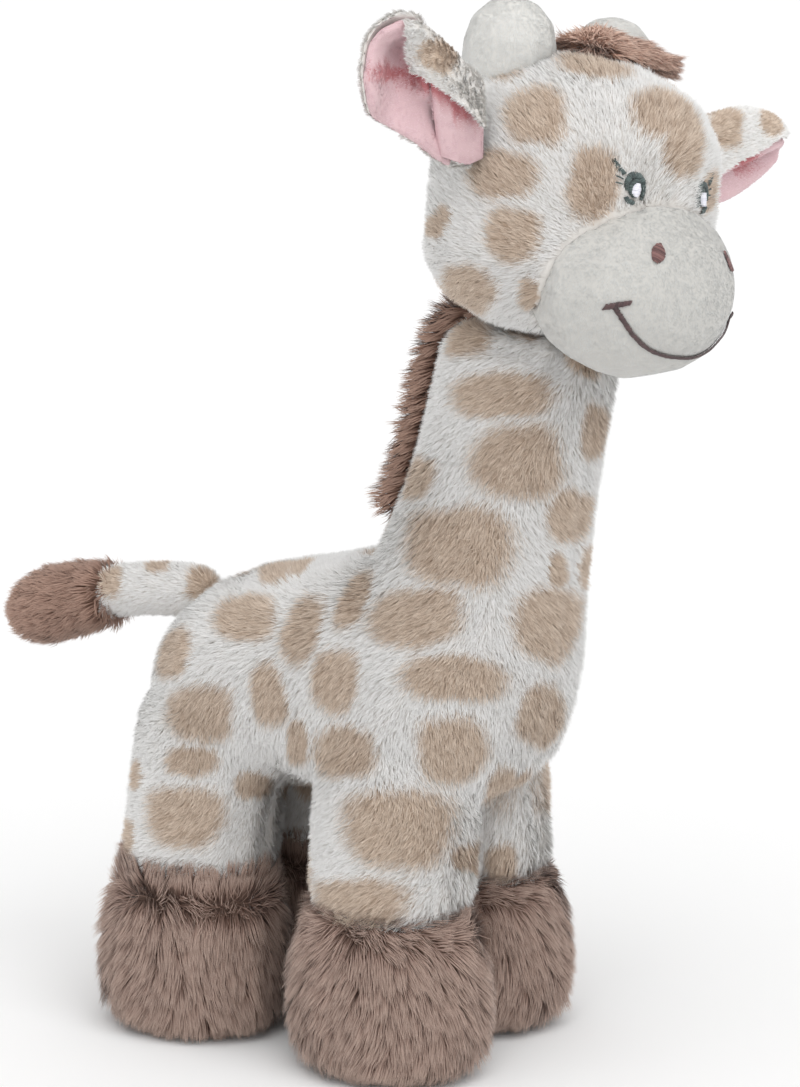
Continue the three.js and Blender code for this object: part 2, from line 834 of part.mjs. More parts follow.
// The origin is on the ground, under the middle of the whole giraffe.
const box = new THREE.Box3().setFromObject(parts, true);
const middle = box.getCenter(new THREE.Vector3());
parts.position.set(-middle.x, -middle.y, -box.min.z);

export default parts;
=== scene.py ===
# %% [markdown]
# # A plush giraffe
# The toy is sewn from short spotted plush, long brushed pile and smooth nap cloth, and it
# is stuffed with loose fibre. Everything here is in metres, and the giraffe faces -Y.
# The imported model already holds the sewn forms. This lesson rounds them as stuffing does,
# and then grows the pile strand by strand. A bump or a painted picture on a smooth surface
# is quicker, but the outline of a plush toy is made of strands, so only real ones look right.

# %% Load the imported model
import math

import bmesh
import bpy
import numpy as np
from mathutils import Matrix, Vector
from mathutils.bvhtree import BVHTree
from mathutils.kdtree import KDTree


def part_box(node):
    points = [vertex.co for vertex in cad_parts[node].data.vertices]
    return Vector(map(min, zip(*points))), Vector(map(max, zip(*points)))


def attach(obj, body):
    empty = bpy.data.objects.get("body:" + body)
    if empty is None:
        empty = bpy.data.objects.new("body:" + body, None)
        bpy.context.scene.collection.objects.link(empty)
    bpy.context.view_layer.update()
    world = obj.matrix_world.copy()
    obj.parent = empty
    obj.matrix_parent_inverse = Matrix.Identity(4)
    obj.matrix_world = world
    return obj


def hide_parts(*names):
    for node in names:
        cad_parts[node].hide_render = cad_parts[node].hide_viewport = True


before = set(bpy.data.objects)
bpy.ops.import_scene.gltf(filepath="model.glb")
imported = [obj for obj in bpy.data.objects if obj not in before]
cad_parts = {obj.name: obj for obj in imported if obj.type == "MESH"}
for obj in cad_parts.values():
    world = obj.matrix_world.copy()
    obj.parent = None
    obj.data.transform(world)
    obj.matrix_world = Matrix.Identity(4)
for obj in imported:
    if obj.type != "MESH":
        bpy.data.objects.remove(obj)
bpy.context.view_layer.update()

# %% [markdown]
# ## Where to measure from
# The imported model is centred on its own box, so the body's middle sits a little aside of
# the origin. Reading one filling's box gives the point on the ground that the toy's sizes
# are measured from. The head is turned and tilted, so it has a place of its own.

# %% The body's middle and the head's place
MM = 0.001
TORSO_MIDDLE_BEHIND = 4.5 * MM
torso_low, torso_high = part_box("torso_filling")
body_middle = np.array([
    (torso_low[0] + torso_high[0]) / 2,
    (torso_low[1] + torso_high[1]) / 2 - TORSO_MIDDLE_BEHIND,
    0.0,
])
head_place = (
    Matrix.Translation(Vector(body_middle) + Vector((0, -72, 231)) * MM)
    @ Matrix.Rotation(math.radians(-10), 4, "Z")
    @ Matrix.Rotation(math.radians(9), 4, "Y")
)
head_turn = np.array(head_place.to_3x3())
head_middle = np.array(head_place.translation)
HEAD_HALF = np.array([36, 32.5, 37])
print("body middle", np.round(body_middle, 5), "head middle", np.round(head_middle, 4))


def in_head(points):
    """Points in the head's own place: +X its left, -Y forwards, +Z its crown."""
    return (points - head_middle) @ head_turn


# %% [markdown]
# ## The camera
# A product photograph is taken from some way off with a long lens, which keeps the near
# feet from looking too large. The camera stands a metre away, to the front right of the
# toy and a little above it.

# %% Place the camera
PHOTO_WIDTH, PHOTO_HEIGHT = 800, 1087
FOCUS_PIXELS = 3780
CAMERA_DISTANCE = 1.0
SENSOR = 36.0
azimuth, elevation = math.radians(-55), math.radians(11)
camera_back = np.array([
    math.sin(azimuth) * math.cos(elevation),
    -math.cos(azimuth) * math.cos(elevation),
    math.sin(elevation),
])
camera_right = np.array([math.cos(azimuth), math.sin(azimuth), 0.0])
camera_up = np.cross(camera_back, camera_right)
camera_target = body_middle + np.array([0, -18.6, 135]) * MM
camera_spot = camera_target + camera_back * CAMERA_DISTANCE

camera = bpy.data.objects.new("camera", bpy.data.cameras.new("camera"))
camera.data.sensor_fit = "VERTICAL"
camera.data.sensor_height = SENSOR
camera.data.lens = FOCUS_PIXELS * SENSOR / PHOTO_HEIGHT
camera.location = camera_spot
camera.rotation_euler = Vector(-camera_back).to_track_quat("-Z", "Y").to_euler()
bpy.context.scene.collection.objects.link(camera)
bpy.context.scene.camera = camera
bpy.context.scene.view_settings.view_transform = "Standard"
print("lens", round(camera.data.lens, 1), "mm")


def sight_line(x, y):
    """The direction from the camera through a place in the picture, in pixels."""
    aside = (x - PHOTO_WIDTH / 2) / FOCUS_PIXELS
    above = (PHOTO_HEIGHT / 2 - y) / FOCUS_PIXELS
    return camera_right * aside + camera_up * above - camera_back


def in_picture(points):
    """Where points of the scene appear in the picture, in pixels, and their distance."""
    away = points - camera_spot
    distance = -(away @ camera_back)
    x = PHOTO_WIDTH / 2 + FOCUS_PIXELS * (away @ camera_right) / distance
    y = PHOTO_HEIGHT / 2 - FOCUS_PIXELS * (away @ camera_up) / distance
    return x, y, distance


# %% [markdown]
# ## Light and floor
# Soft studio light comes from everywhere, with one broad lamp high on the side of the
# camera. Suns with a wide angle are used rather than area lamps, because they light the
# whole floor evenly and still give the toy a soft shadow.

# %% Lamps
def add_sun(name, azimuth_degrees, elevation_degrees, strength, angle_degrees):
    sun = bpy.data.objects.new(name, bpy.data.lights.new(name, "SUN"))
    sun.data.energy = strength
    sun.data.angle = math.radians(angle_degrees)
    turn, rise = math.radians(azimuth_degrees), math.radians(elevation_degrees)
    away = Vector((
        math.sin(turn) * math.cos(rise),
        -math.cos(turn) * math.cos(rise),
        math.sin(rise),
    ))
    sun.rotation_euler = away.to_track_quat("Z", "Y").to_euler()
    bpy.context.scene.collection.objects.link(sun)


add_sun("key_light", -34, 50, strength=1.4, angle_degrees=60)
add_sun("fill_light", -110, 30, strength=0.45, angle_degrees=90)

# %% [markdown]
# The room itself is a white world. The camera should see pure white behind the toy, but so
# much light would wash out the folds. Light paths tell the two apart: the camera sees the
# bright background, and the toy is lit by the dimmer one.

# %% World
ROOM_STRENGTH = 0.66
world = bpy.data.worlds.new("studio")
world.use_nodes = True
bpy.context.scene.world = world
world_nodes, world_links = world.node_tree.nodes, world.node_tree.links
world_nodes.clear()


def white_background(strength):
    background = world_nodes.new("ShaderNodeBackground")
    background.inputs["Color"].default_value = (1, 1, 1, 1)
    background.inputs["Strength"].default_value = strength
    return background


room_light = white_background(ROOM_STRENGTH)
seen_backdrop = white_background(1.0)
light_path = world_nodes.new("ShaderNodeLightPath")
seen, seen_through = (world_nodes.new("ShaderNodeMath") for _ in range(2))
for either in (seen, seen_through):
    either.operation = "MAXIMUM"
world_mix = world_nodes.new("ShaderNodeMixShader")
world_out = world_nodes.new("ShaderNodeOutputWorld")
world_links.new(light_path.outputs["Is Camera Ray"], seen.inputs[0])
world_links.new(light_path.outputs["Is Glossy Ray"], seen.inputs[1])
world_links.new(seen.outputs[0], seen_through.inputs[0])
world_links.new(light_path.outputs["Is Transmission Ray"], seen_through.inputs[1])
world_links.new(seen_through.outputs[0], world_mix.inputs[0])
world_links.new(room_light.outputs[0], world_mix.inputs[1])
world_links.new(seen_backdrop.outputs[0], world_mix.inputs[2])
world_links.new(world_mix.outputs[0], world_out.inputs["Surface"])
print("room light", ROOM_STRENGTH)

# %% [markdown]
# The floor is one large square, far wider than the picture, so that it has no edge in sight.
# It is part of the studio and not of the toy.

# %% Floor
FLOOR_HALF = 20.0
floor_mesh = bpy.data.meshes.new("floor")
floor_mesh.from_pydata(
    [(x * FLOOR_HALF, y * FLOOR_HALF, 0) for x, y in ((-1, -1), (1, -1), (1, 1), (-1, 1))],
    [],
    [(0, 1, 2, 3)],
)
floor = bpy.data.objects.new("floor", floor_mesh)
bpy.context.scene.collection.objects.link(floor)
floor_material = bpy.data.materials.new("floor_white")
floor_material.use_nodes = True
floor_shader = floor_material.node_tree.nodes["Principled BSDF"]
floor_shader.inputs["Base Color"].default_value = (0.97, 0.97, 0.97, 1)
floor_shader.inputs["Roughness"].default_value = 0.9
floor_shader.inputs["Specular IOR Level"].default_value = 0.0
floor_mesh.materials.append(floor_material)
print("floor", 2 * FLOOR_HALF, "metres wide")


# %% [markdown]
# ## Rounding the sewn forms
# Stuffing pushes cloth out into round shapes and draws the seams in between. The facets of
# the model are melted together with a voxel remesh and then relaxed. A cloth simulation
# would also do it, but the pile hides fine wrinkles, and this keeps every form where it was
# measured. The result is kept as plain arrays, which later steps can push about quickly.

# %% A rounded skin from several nodes
def unit(vectors):
    return vectors / np.maximum(np.linalg.norm(vectors, axis=-1, keepdims=True), 1e-12)


class Skin:
    """A closed or open surface: its points, its triangles and the way each point faces."""

    def __init__(self, points, triangles):
        self.points = points
        self.triangles = triangles
        self.refresh()

    def refresh(self):
        corner = self.points[self.triangles]
        across = np.cross(corner[:, 1] - corner[:, 0], corner[:, 2] - corner[:, 0])
        facing = np.zeros_like(self.points)
        for axis in range(3):
            for side in range(3):
                facing[:, axis] += np.bincount(
                    self.triangles[:, side], across[:, axis], minlength=len(self.points))
        self.facing = unit(facing)
        self.tree = BVHTree.FromPolygons(self.points.tolist(), self.triangles.tolist())

    def push(self, amount):
        """Moves each point out along its own facing by its amount, in metres."""
        self.points = self.points + self.facing * np.asarray(amount)[:, None]
        self.refresh()

    def only(self, keep):
        """The part whose triangle middles pass keep(middles)."""
        kept = self.triangles[keep(self.points[self.triangles].mean(axis=1))]
        used, fresh = np.unique(kept, return_inverse=True)
        part = Skin(self.points[used], fresh.reshape(-1, 3))
        part.facing = self.facing[used]
        return part

    def hit(self, start, direction):
        """Where a straight line first meets the skin, and how it faces there."""
        spot, facing, _, _ = self.tree.ray_cast(Vector(start), Vector(direction))
        return (None, None) if spot is None else (np.array(spot), np.array(facing))


def biggest_part(builder):
    """Deletes all but the largest connected part, such as bubbles left inside."""
    waiting = set(builder.verts)
    parts = []
    while waiting:
        front = [waiting.pop()]
        part = list(front)
        while front:
            vert = front.pop()
            for edge in vert.link_edges:
                other = edge.other_vert(vert)
                if other in waiting:
                    waiting.remove(other)
                    front.append(other)
                    part.append(other)
        parts.append(part)
    parts.sort(key=len)
    bmesh.ops.delete(builder, geom=[vert for part in parts[:-1] for vert in part], context="VERTS")


def rounded_skin(nodes, voxel, rounds, swell=0.2):
    """One smooth skin round these nodes. The voxel and the swell are in millimetres."""
    builder = bmesh.new()
    for node in nodes:
        builder.from_mesh(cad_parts[node].data)
    bmesh.ops.remove_doubles(builder, verts=builder.verts, dist=1e-6)
    mesh = bpy.data.meshes.new("rough_skin")
    builder.to_mesh(mesh)
    builder.free()
    holder = bpy.data.objects.new("rough_skin", mesh)
    bpy.context.scene.collection.objects.link(holder)
    thicken = holder.modifiers.new("thicken", "DISPLACE")
    thicken.strength = swell * MM
    thicken.mid_level = 0
    remesh = holder.modifiers.new("remesh", "REMESH")
    remesh.mode = "VOXEL"
    remesh.voxel_size = voxel * MM
    relax = holder.modifiers.new("relax", "SMOOTH")
    relax.factor = 0.5
    relax.iterations = rounds
    smooth = bpy.data.meshes.new_from_object(
        holder.evaluated_get(bpy.context.evaluated_depsgraph_get()))
    builder = bmesh.new()
    builder.from_mesh(smooth)
    biggest_part(builder)
    bmesh.ops.triangulate(builder, faces=builder.faces)
    points = np.array([vert.co[:] for vert in builder.verts])
    builder.verts.index_update()
    triangles = np.array([[vert.index for vert in face.verts] for face in builder.faces])
    builder.free()
    bpy.data.objects.remove(holder)
    bpy.data.meshes.remove(mesh)
    bpy.data.meshes.remove(smooth)
    return Skin(points, triangles)


LEGS = ("front_left", "front_right", "hind_left", "hind_right")
body_nodes = ["side_panel_left", "side_panel_right", "underbody_panel", "torso_filling"]
body_nodes += ["neck_filling"]
body_nodes += [f"leg_filling_{leg}" for leg in LEGS] + [f"foot_filling_{leg}" for leg in LEGS]
body_skin = rounded_skin(body_nodes, 2.0, 7)
head_skin = rounded_skin(["head_panel_left", "head_panel_right", "head_filling"], 1.8, 8)
muzzle_skin = rounded_skin(["muzzle_cover", "muzzle_filling"], 1.2, 8)
for name, skin in (("body", body_skin), ("head", head_skin), ("muzzle", muzzle_skin)):
    print(name, "skin of", len(skin.points), "points")


# %% [markdown]
# ## Seams
# A seam is where two panels are sewn edge to edge. The thread holds it in while the
# stuffing pushes the cloth out on both sides, so it shows as a shallow valley. Each valley
# is made by pushing the skin in, more the nearer a point is to the seam.

# %% Draw the seams in
FOOT_SEAM = 44.5 * MM
ARCH_SPRING, ARCH_TOP = 70 * MM, 86 * MM
ARCH_HALF, ARCH_HALF_AT_FEET = 17 * MM, 24 * MM
ARCH_SEAM_TOP = 84 * MM
NECK_SEAM_BOTTOM = 170 * MM
NECK_SEAM_FORWARD = 62 * MM
NECK_SEAM_DEPTH = 1.6


def valley(distance, width, depth):
    """How far to push in, in metres, at a distance from a seam; width and depth in mm."""
    return -depth * MM * np.exp(-((distance / (width * MM)) ** 2))


def arch_half_width(up):
    """Half the width of the underbody panel at a height, in metres."""
    below = np.interp(up, [FOOT_SEAM, ARCH_SPRING], [ARCH_HALF_AT_FEET, ARCH_HALF])
    share = np.clip((ARCH_TOP - up) / (ARCH_TOP - ARCH_SPRING), 0, 1)
    return np.where(up < ARCH_SPRING, below, ARCH_HALF * (1 - (1 - share) ** 2))


def around_body(points):
    return points - body_middle


def crease(skin, pixels, width, depth):
    """A valley along a line of the picture, given in pixels, wherever it meets the skin."""
    line = []
    for (x0, y0), (x1, y1) in zip(pixels, pixels[1:]):
        for share in np.linspace(0, 1, 12):
            sight = sight_line(x0 + (x1 - x0) * share, y0 + (y1 - y0) * share)
            place, _ = skin.hit(camera_spot, sight)
            if place is not None:
                line.append(place)
    tree = KDTree(len(line))
    for index, place in enumerate(line):
        tree.insert(place, index)
    tree.balance()
    return valley(np.array([tree.find(point)[2] for point in skin.points]), width, depth)


# Each row is a line of the picture, in pixels, and the valley's width and depth in mm.
BODY_CREASES = (
    (((484, 875), (484, 812), (505, 788), (553, 742)), 2.2, 1.6),
    (((262, 748), (276, 768), (292, 776)), 3.0, 1.8),
    (((240, 566), (247, 580), (243, 596)), 3.0, 1.6),
    (((306, 610), (292, 650), (280, 700), (276, 745)), 5.0, 1.3),
    (((430, 352), (475, 344), (520, 352), (560, 366)), 2.6, 1.5),
    (((455, 385), (500, 372), (552, 378)), 2.6, 0.7),
)
across, back, up = around_body(body_skin.points).T
push = valley(np.abs(across), 1.8, 0.8)
for line, width, depth in BODY_CREASES:
    push += crease(body_skin, line, width, depth)
arch_gap = np.abs(np.abs(across) - arch_half_width(up))
push += np.where(up < ARCH_SEAM_TOP, valley(arch_gap, 2.0, 0.9), 0)
push += valley(np.abs(up - FOOT_SEAM), 4.0, 1.3)
from_head = np.linalg.norm(in_head(body_skin.points) / HEAD_HALF, axis=1) / MM
around = np.arctan2(across, -back - NECK_SEAM_FORWARD)
gather = 0.6 + 0.4 * np.sin(around * 17 + 1.3 * np.sin(around * 5))
neck_seam = valley((from_head - 1.0) * HEAD_HALF[0] * MM, 7.0, NECK_SEAM_DEPTH) * gather
push += np.where(up > NECK_SEAM_BOTTOM, neck_seam, 0)
body_skin.push(push)
print("deepest seam on the body", round(float(-push.min()) / MM, 2), "mm")
head_skin.push(valley(np.abs(in_head(head_skin.points)[:, 0]), 1.8, 0.7))


# %% [markdown]
# ## Spots
# The plush is printed or dyed with rounded tan patches, close together but never touching.
# Each spot is a place on the skin with its own outline. Those on the side towards the camera
# are set by looking through the camera at their places in the picture. Their mirror images,
# and some more spread at random, cover the side that the photograph doesn't show.

# %% A spot on the skin
SPOT_CORNERS = 16
SIGHT_CORNERS = 24
FAR_AWAY = 9.0


class Spot:
    """A rounded patch: its middle, two directions along the skin and a radius at each angle."""

    def __init__(self, middle, facing, along, radii):
        self.middle, self.facing, self.along = middle, facing, along
        self.across = np.cross(facing, along)
        self.radii = radii

    def mirrored(self, place, turn):
        """The same patch on the other side of the plane through place, square to turn."""
        flip = np.eye(3) - 2 * np.outer(turn, turn)
        copy = Spot(self.middle - 2 * turn * ((self.middle - place) @ turn), flip @ self.facing,
                    flip @ self.along, self.radii)
        copy.across = flip @ self.across
        return copy

    def size(self):
        return float(self.radii.mean())

    def nearness(self, points, facing):
        """0 at the middle of the patch, 1 on its outline, more outside."""
        away = points - self.middle
        along, across = away @ self.along, away @ self.across
        angle = np.mod(np.arctan2(across, along), 2 * math.pi)
        grid = np.linspace(0, 2 * math.pi, SPOT_CORNERS + 1)
        radius = np.interp(angle, grid, np.append(self.radii, self.radii[0]))
        beside = np.hypot(along, across) / radius
        far = np.abs(away @ self.facing) > 1.3 * self.size() + 4 * MM
        return np.where(far | (facing @ self.facing < -0.1), FAR_AWAY, beside)


def spot_seen_at(skin, x, y, width, height, turn=0.0, squareness=3.1):
    """The patch that the camera sees at x, y in the picture, with its size in pixels."""
    middle, facing = skin.hit(camera_spot, sight_line(x, y))
    if middle is None:
        return None
    along = unit(camera_right - facing * (camera_right @ facing))
    across = np.cross(facing, along)
    angles, radii = [], []
    for corner in range(SIGHT_CORNERS):
        angle = 2 * math.pi * corner / SIGHT_CORNERS
        a = math.copysign(abs(math.cos(angle)) ** (2 / squareness), math.cos(angle)) * width / 2
        b = math.copysign(abs(math.sin(angle)) ** (2 / squareness), math.sin(angle)) * height / 2
        c, s = math.cos(math.radians(turn)), math.sin(math.radians(turn))
        edge, edge_facing = skin.hit(camera_spot, sight_line(x + a * c - b * s, y + a * s + b * c))
        if edge is None or edge_facing @ facing < 0 or np.linalg.norm(edge - middle) > 30 * MM:
            continue
        away = edge - middle
        angles.append(math.atan2(away @ across, away @ along) % (2 * math.pi))
        radii.append(math.hypot(away @ across, away @ along))
    order = np.argsort(angles)
    grid = np.linspace(0, 2 * math.pi, SPOT_CORNERS + 1)[:-1]
    ring = np.interp(grid, np.array(angles)[order], np.array(radii)[order], period=2 * math.pi)
    ring = ring * (1 + 0.05 * np.cos(3 * grid + x) + 0.035 * np.cos(5 * grid + y))
    return Spot(middle, facing, along, ring)


def spots_seen(skin, rows):
    """The patches at these places of the picture, leaving out those that miss the skin."""
    return [spot for spot in (spot_seen_at(skin, *row) for row in rows) if spot]


print("corners of a spot", SPOT_CORNERS)

# %% [markdown]
# Each row below is one spot as the camera sees it: where its middle is in the picture, its
# width and height there in pixels, and how far it is turned, in degrees.

# %% The spots that the camera sees
BODY_SPOTS = (
    (466, 337, 54, 40, 15), (519, 333, 38, 16, 20), (580, 362, 40, 20, 35), (504, 394, 105, 42, 0),
    (518, 461, 92, 74, 0), (591, 430, 25, 55, 8), (421, 478, 34, 40, 20), (566, 514, 45, 52, 25),
    (462, 546, 110, 78, 0), (554, 569, 18, 36, 0), (582, 566, 14, 45, 5), (386, 537, 13, 13, 0),
    (419, 618, 95, 56, -8), (545, 622, 66, 74, 20), (454, 677, 110, 42, 3), (537, 713, 46, 60, 12),
    (452, 748, 70, 66, -12), (337, 680, 46, 64, 5), (347, 752, 62, 50, 0), (400, 828, 112, 78, 0),
    (361, 903, 108, 48, -3), (355, 603, 24, 66, 27), (305, 632, 34, 72, 18), (277, 577, 30, 22, -30),
    (302, 570, 14, 30, 35), (249, 620, 62, 44, -5), (179, 654, 28, 52, 20), (204, 712, 66, 56, 0),
    (271, 695, 34, 64, -12), (193, 761, 54, 28, 0), (187, 816, 78, 60, 0), (252, 784, 38, 26, 0),
    (155, 688, 14, 34, 15), (300, 740, 20, 46, 0), (500, 782, 26, 40, 0), (545, 800, 16, 42, 0),
    (500, 862, 32, 40, 0), (140, 775, 12, 30, 0), (131, 838, 16, 40, 0), (462, 858, 26, 24, 0),
)
HEAD_SPOTS = (
    (595, 70, 76, 22, 6), (506, 68, 35, 36, 0), (537, 118, 62, 58, -8), (662, 116, 68, 46, 8),
    (681, 146, 38, 66, 5), (686, 84, 14, 36, -35), (706, 192, 12, 44, 8),
    (503, 175, 72, 46, 3), (592, 184, 48, 74, 10), (514, 235, 54, 54, 5), (470, 287, 54, 48, 0),
    (443, 223, 18, 34, 30), (529, 292, 16, 34, 0),
)
body_spots = spots_seen(body_skin, BODY_SPOTS)
head_spots = spots_seen(head_skin, HEAD_SPOTS)
print("spots seen on the body", len(body_spots), "and on the head", len(head_spots))

# %% [markdown]
# The other side gets mirror images of these spots where there is room, and then spots at
# random places, each clear of its neighbours.

# %% The spots that the camera doesn't see
def unseen(spot, skin):
    """True for a patch that the camera can't see well."""
    toward = unit(camera_spot - spot.middle)
    if spot.facing @ toward < -0.12:
        return True
    blocker, _ = skin.hit(spot.middle + spot.facing * 2 * MM, toward)
    return blocker is not None


def clear_of(spot, others, gap):
    return all(
        np.linalg.norm(spot.middle - other.middle) > spot.size() + other.size() + gap
        or spot.facing @ other.facing < -0.2
        for other in others
    )


def spread_spots(skin, spots, plane_point, plane_turn, tries, seed, allowed):
    """Adds mirror images and then random patches, where there is room out of sight."""
    random = np.random.default_rng(seed)
    for spot in list(spots):
        copy = spot.mirrored(plane_point, plane_turn)
        distance = skin.tree.find_nearest(Vector(copy.middle))[3]
        copy.radii = copy.radii * random.uniform(0.85, 1.1)
        copy.radii = copy.radii * (1 + 0.12 * random.uniform(-1, 1, SPOT_CORNERS))
        if distance < 6 * MM and unseen(copy, skin) and clear_of(copy, spots, 2.5 * MM):
            spots.append(copy)
    for index in random.integers(0, len(skin.points), tries):
        middle, facing = skin.points[index], skin.facing[index]
        angle = np.arange(SPOT_CORNERS) * 2 * math.pi / SPOT_CORNERS
        radius = random.uniform(4.5, 10.5) * MM
        waves = 0.22 * np.cos(2 * angle + random.uniform(0, 6))
        waves = waves + 0.09 * np.cos(3 * angle + random.uniform(0, 6))
        along = unit(np.cross(facing, random.normal(size=3)))
        spot = Spot(middle, facing, along, radius * (1 + waves))
        if allowed(middle) and unseen(spot, skin) and clear_of(spot, spots, 3.2 * MM):
            spots.append(spot)


spread_spots(body_skin, body_spots, body_middle, np.array([1.0, 0, 0]), tries=2500, seed=11,
             allowed=lambda place: place[2] > FOOT_SEAM)
spread_spots(head_skin, head_spots, head_middle, head_turn[:, 0], tries=900, seed=12,
             allowed=lambda place: True)
print("spots on the body", len(body_spots), "and on the head", len(head_spots))

# %% [markdown]
# The edge of a dyed spot is uneven, because whole strands take the dye or don't. Each strand
# asks how far it is from the nearest spot, and a little chance decides near the outline.

# %% How tan a place is
def tan_share(points, facing, spots, random, softness=0.15):
    """0 on white plush and 1 inside a spot, with an uneven, fuzzy edge."""
    nearest = np.full(len(points), FAR_AWAY)
    for spot in spots:
        close = np.linalg.norm(points - spot.middle, axis=1) < 2.6 * spot.radii.max()
        if close.any():
            nearest[close] = np.minimum(nearest[close], spot.nearness(points[close], facing[close]))
    ragged = nearest + random.normal(0, softness * 0.55, len(points))
    return np.clip((0.98 - ragged) / (2 * softness) + 0.5, 0, 1)


print("spots ready")


# %% [markdown]
# ## Growing pile
# Plush is a backing cloth with thousands of fine strands standing out of it. They lean the
# way the cloth was brushed and cling together in small tufts. Blender's own hair would give
# them too, but here each strand is a real ribbon of mesh, so the pile also stays with the
# model when it is exported. A strand follows its own path, and then it is drawn towards the
# nearest guide strand, which makes the tufts.

# %% Roots on the cloth
def doubled_areas(corner):
    """Twice the area of each triangle, from its corners."""
    across = np.cross(corner[:, 1] - corner[:, 0], corner[:, 2] - corner[:, 0])
    return np.linalg.norm(across, axis=1)


def scatter(skin, count, random, weight=None):
    """Random places on the skin, as even as its area, or thinned by weight(points, facing)."""
    corner = skin.points[skin.triangles]
    area = doubled_areas(corner)
    if weight is not None:
        facing = unit(skin.facing[skin.triangles].mean(axis=1))
        area = area * weight(corner.mean(axis=1), facing)
    chosen = random.choice(len(area), count, p=area / area.sum())
    a, b = random.random(count), random.random(count)
    over = a + b > 1
    a[over], b[over] = 1 - a[over], 1 - b[over]
    c = 1 - a - b
    mix = np.stack([c, a, b], axis=1)[:, :, None]
    roots = (corner[chosen] * mix).sum(axis=1)
    facing = unit((skin.facing[skin.triangles[chosen]] * mix).sum(axis=1))
    return roots, facing


def nearest_guides(roots, guides):
    """For each root, the nearest of the first few roots, which guide the others."""
    tree = KDTree(guides)
    for index in range(guides):
        tree.insert(roots[index], index)
    tree.balance()
    return np.array([tree.find(root)[1] for root in roots])


cloth_area = doubled_areas(body_skin.points[body_skin.triangles]).sum() / 2
print("cloth on the body", round(float(cloth_area) * 1e4), "square centimetres")

# %% [markdown]
# A strand starts upright and leans over along the way the cloth is combed. All strands are
# grown at once, one part of their length after another, because arrays are much quicker
# than a loop over strands.

# %% Paths of the strands
def grow(skin, count, seed, length, width, lean, comb, parts=2, tuft=9, pull=0.5, frizz=0.14,
         weight=None, vary=0.25, trim=None, floor_gap=None, clump=0.0, alike=0.55, twist=0.4,
         stray=0.3):
    """Paths of strands. Length and width are in mm, and lean is in degrees from upright, at
    the root and at the tip. Small tufts draw together by pull, and then eight of them at a
    time by clump. The nearer alike is to 1, the more alike the shades are within a tuft."""
    random = np.random.default_rng(seed)
    roots, outward = scatter(skin, count, random, weight)
    flow = comb(roots, outward) + stray * random.normal(size=roots.shape)
    flow = unit(flow - outward * (flow * outward).sum(axis=1, keepdims=True))
    guides = max(count // tuft, 1)
    guide = nearest_guides(roots, guides)
    reach = length * MM * (1 + vary * random.uniform(-1, 0.5, count))
    reach = reach * (0.9 + 0.2 * random.random(guides)[guide])
    if trim is not None:
        reach = reach * trim(roots, outward)
    path = [roots]
    for part in range(parts):
        share = (part + 0.5) / parts
        angle = math.radians(lean[0] + (lean[1] - lean[0]) * share)
        heading = unit(outward * math.cos(angle) + flow * math.sin(angle)
                       + frizz * random.normal(size=roots.shape))
        path.append(path[-1] + heading * (reach / parts)[:, None])
    gathers = [(guide, pull)]
    if clump > 0:
        gathers.append((nearest_guides(roots, max(guides // 8, 1)), clump))
    for leader, strength in gathers:
        for part in range(1, parts + 1):
            share = part / parts
            drawn = path[part][leader] + (roots - roots[leader]) * (1 - 0.85 * share)
            path[part] = path[part] + (drawn - path[part]) * strength * share
    path = np.stack(path, axis=1)
    if floor_gap is not None:
        path[:, :, 2] = np.maximum(path[:, :, 2], floor_gap * MM)
    shade = alike * random.random(guides)[guide] + (1 - alike) * random.random(count)
    return {"path": path, "outward": outward, "width": width * MM, "shade": shade,
            "twist": random.normal(0, twist, count), "random": random}


trial = grow(muzzle_skin, 10, 1, 1.0, 0.3, (0, 0), lambda roots, outward: outward)
print("ten trial strands have", trial["path"].shape[1], "stops each")

# %% [markdown]
# A round tube for each strand would cost far too many faces. A flat ribbon that narrows to
# a point looks the same from a little way off, if it is lit as the cloth around it is.

# %% Ribbons
def ribbon_arrays(strands, calm):
    """Points, facing, share along, and quads and triangles of ribbons that taper to a tip.
    The nearer calm is to 1, the more evenly the strands are lit."""
    path, outward = strands["path"], strands["outward"]
    count, stops = path.shape[:2]
    parts = stops - 1
    twist = strands["twist"][:, None]
    points = np.empty((count, 2 * parts + 1, 3))
    facing = np.empty_like(points)
    along = np.empty((count, 2 * parts + 1))
    for stop in range(parts):
        heading = unit(path[:, stop + 1] - path[:, max(stop - 1, 0)])
        side = unit(np.cross(heading, outward))
        side = side * np.cos(twist) + np.cross(heading, side) * np.sin(twist)
        half = side * strands["width"] / 2 * (1 - 0.6 * (stop / parts) ** 2)
        flat = np.cross(side, heading)
        flat = flat * np.sign((flat * outward).sum(axis=1, keepdims=True) + 1e-9)
        points[:, 2 * stop] = path[:, stop] - half
        points[:, 2 * stop + 1] = path[:, stop] + half
        facing[:, 2 * stop] = facing[:, 2 * stop + 1] = unit(calm * outward + (1 - calm) * flat)
        along[:, 2 * stop:2 * stop + 2] = stop / parts
    points[:, -1] = path[:, -1]
    facing[:, -1] = facing[:, -2]
    along[:, -1] = 1.0
    first = (np.arange(count) * (2 * parts + 1))[:, None]
    quads = np.concatenate(
        [first + np.array([2 * s, 2 * s + 1, 2 * s + 3, 2 * s + 2]) for s in range(parts - 1)]
        or [np.empty((0, 4), int)])
    tips = first + np.array([2 * parts - 2, 2 * parts - 1, 2 * parts])
    return points.reshape(-1, 3), facing.reshape(-1, 3), along.reshape(-1), quads, tips


print("ten trial ribbons have", len(ribbon_arrays(trial, 0.9)[0]), "points")

# %% [markdown]
# ## Building a piece of pile
# A piece holds its backing cloth and all its strands in one mesh. Three numbers on each
# point tell the material what it is: how tan it is, its own shade, and how far along its
# strand it lies. A UV map with one column for each tone lets the finish be kept in a small
# picture when the model is exported.

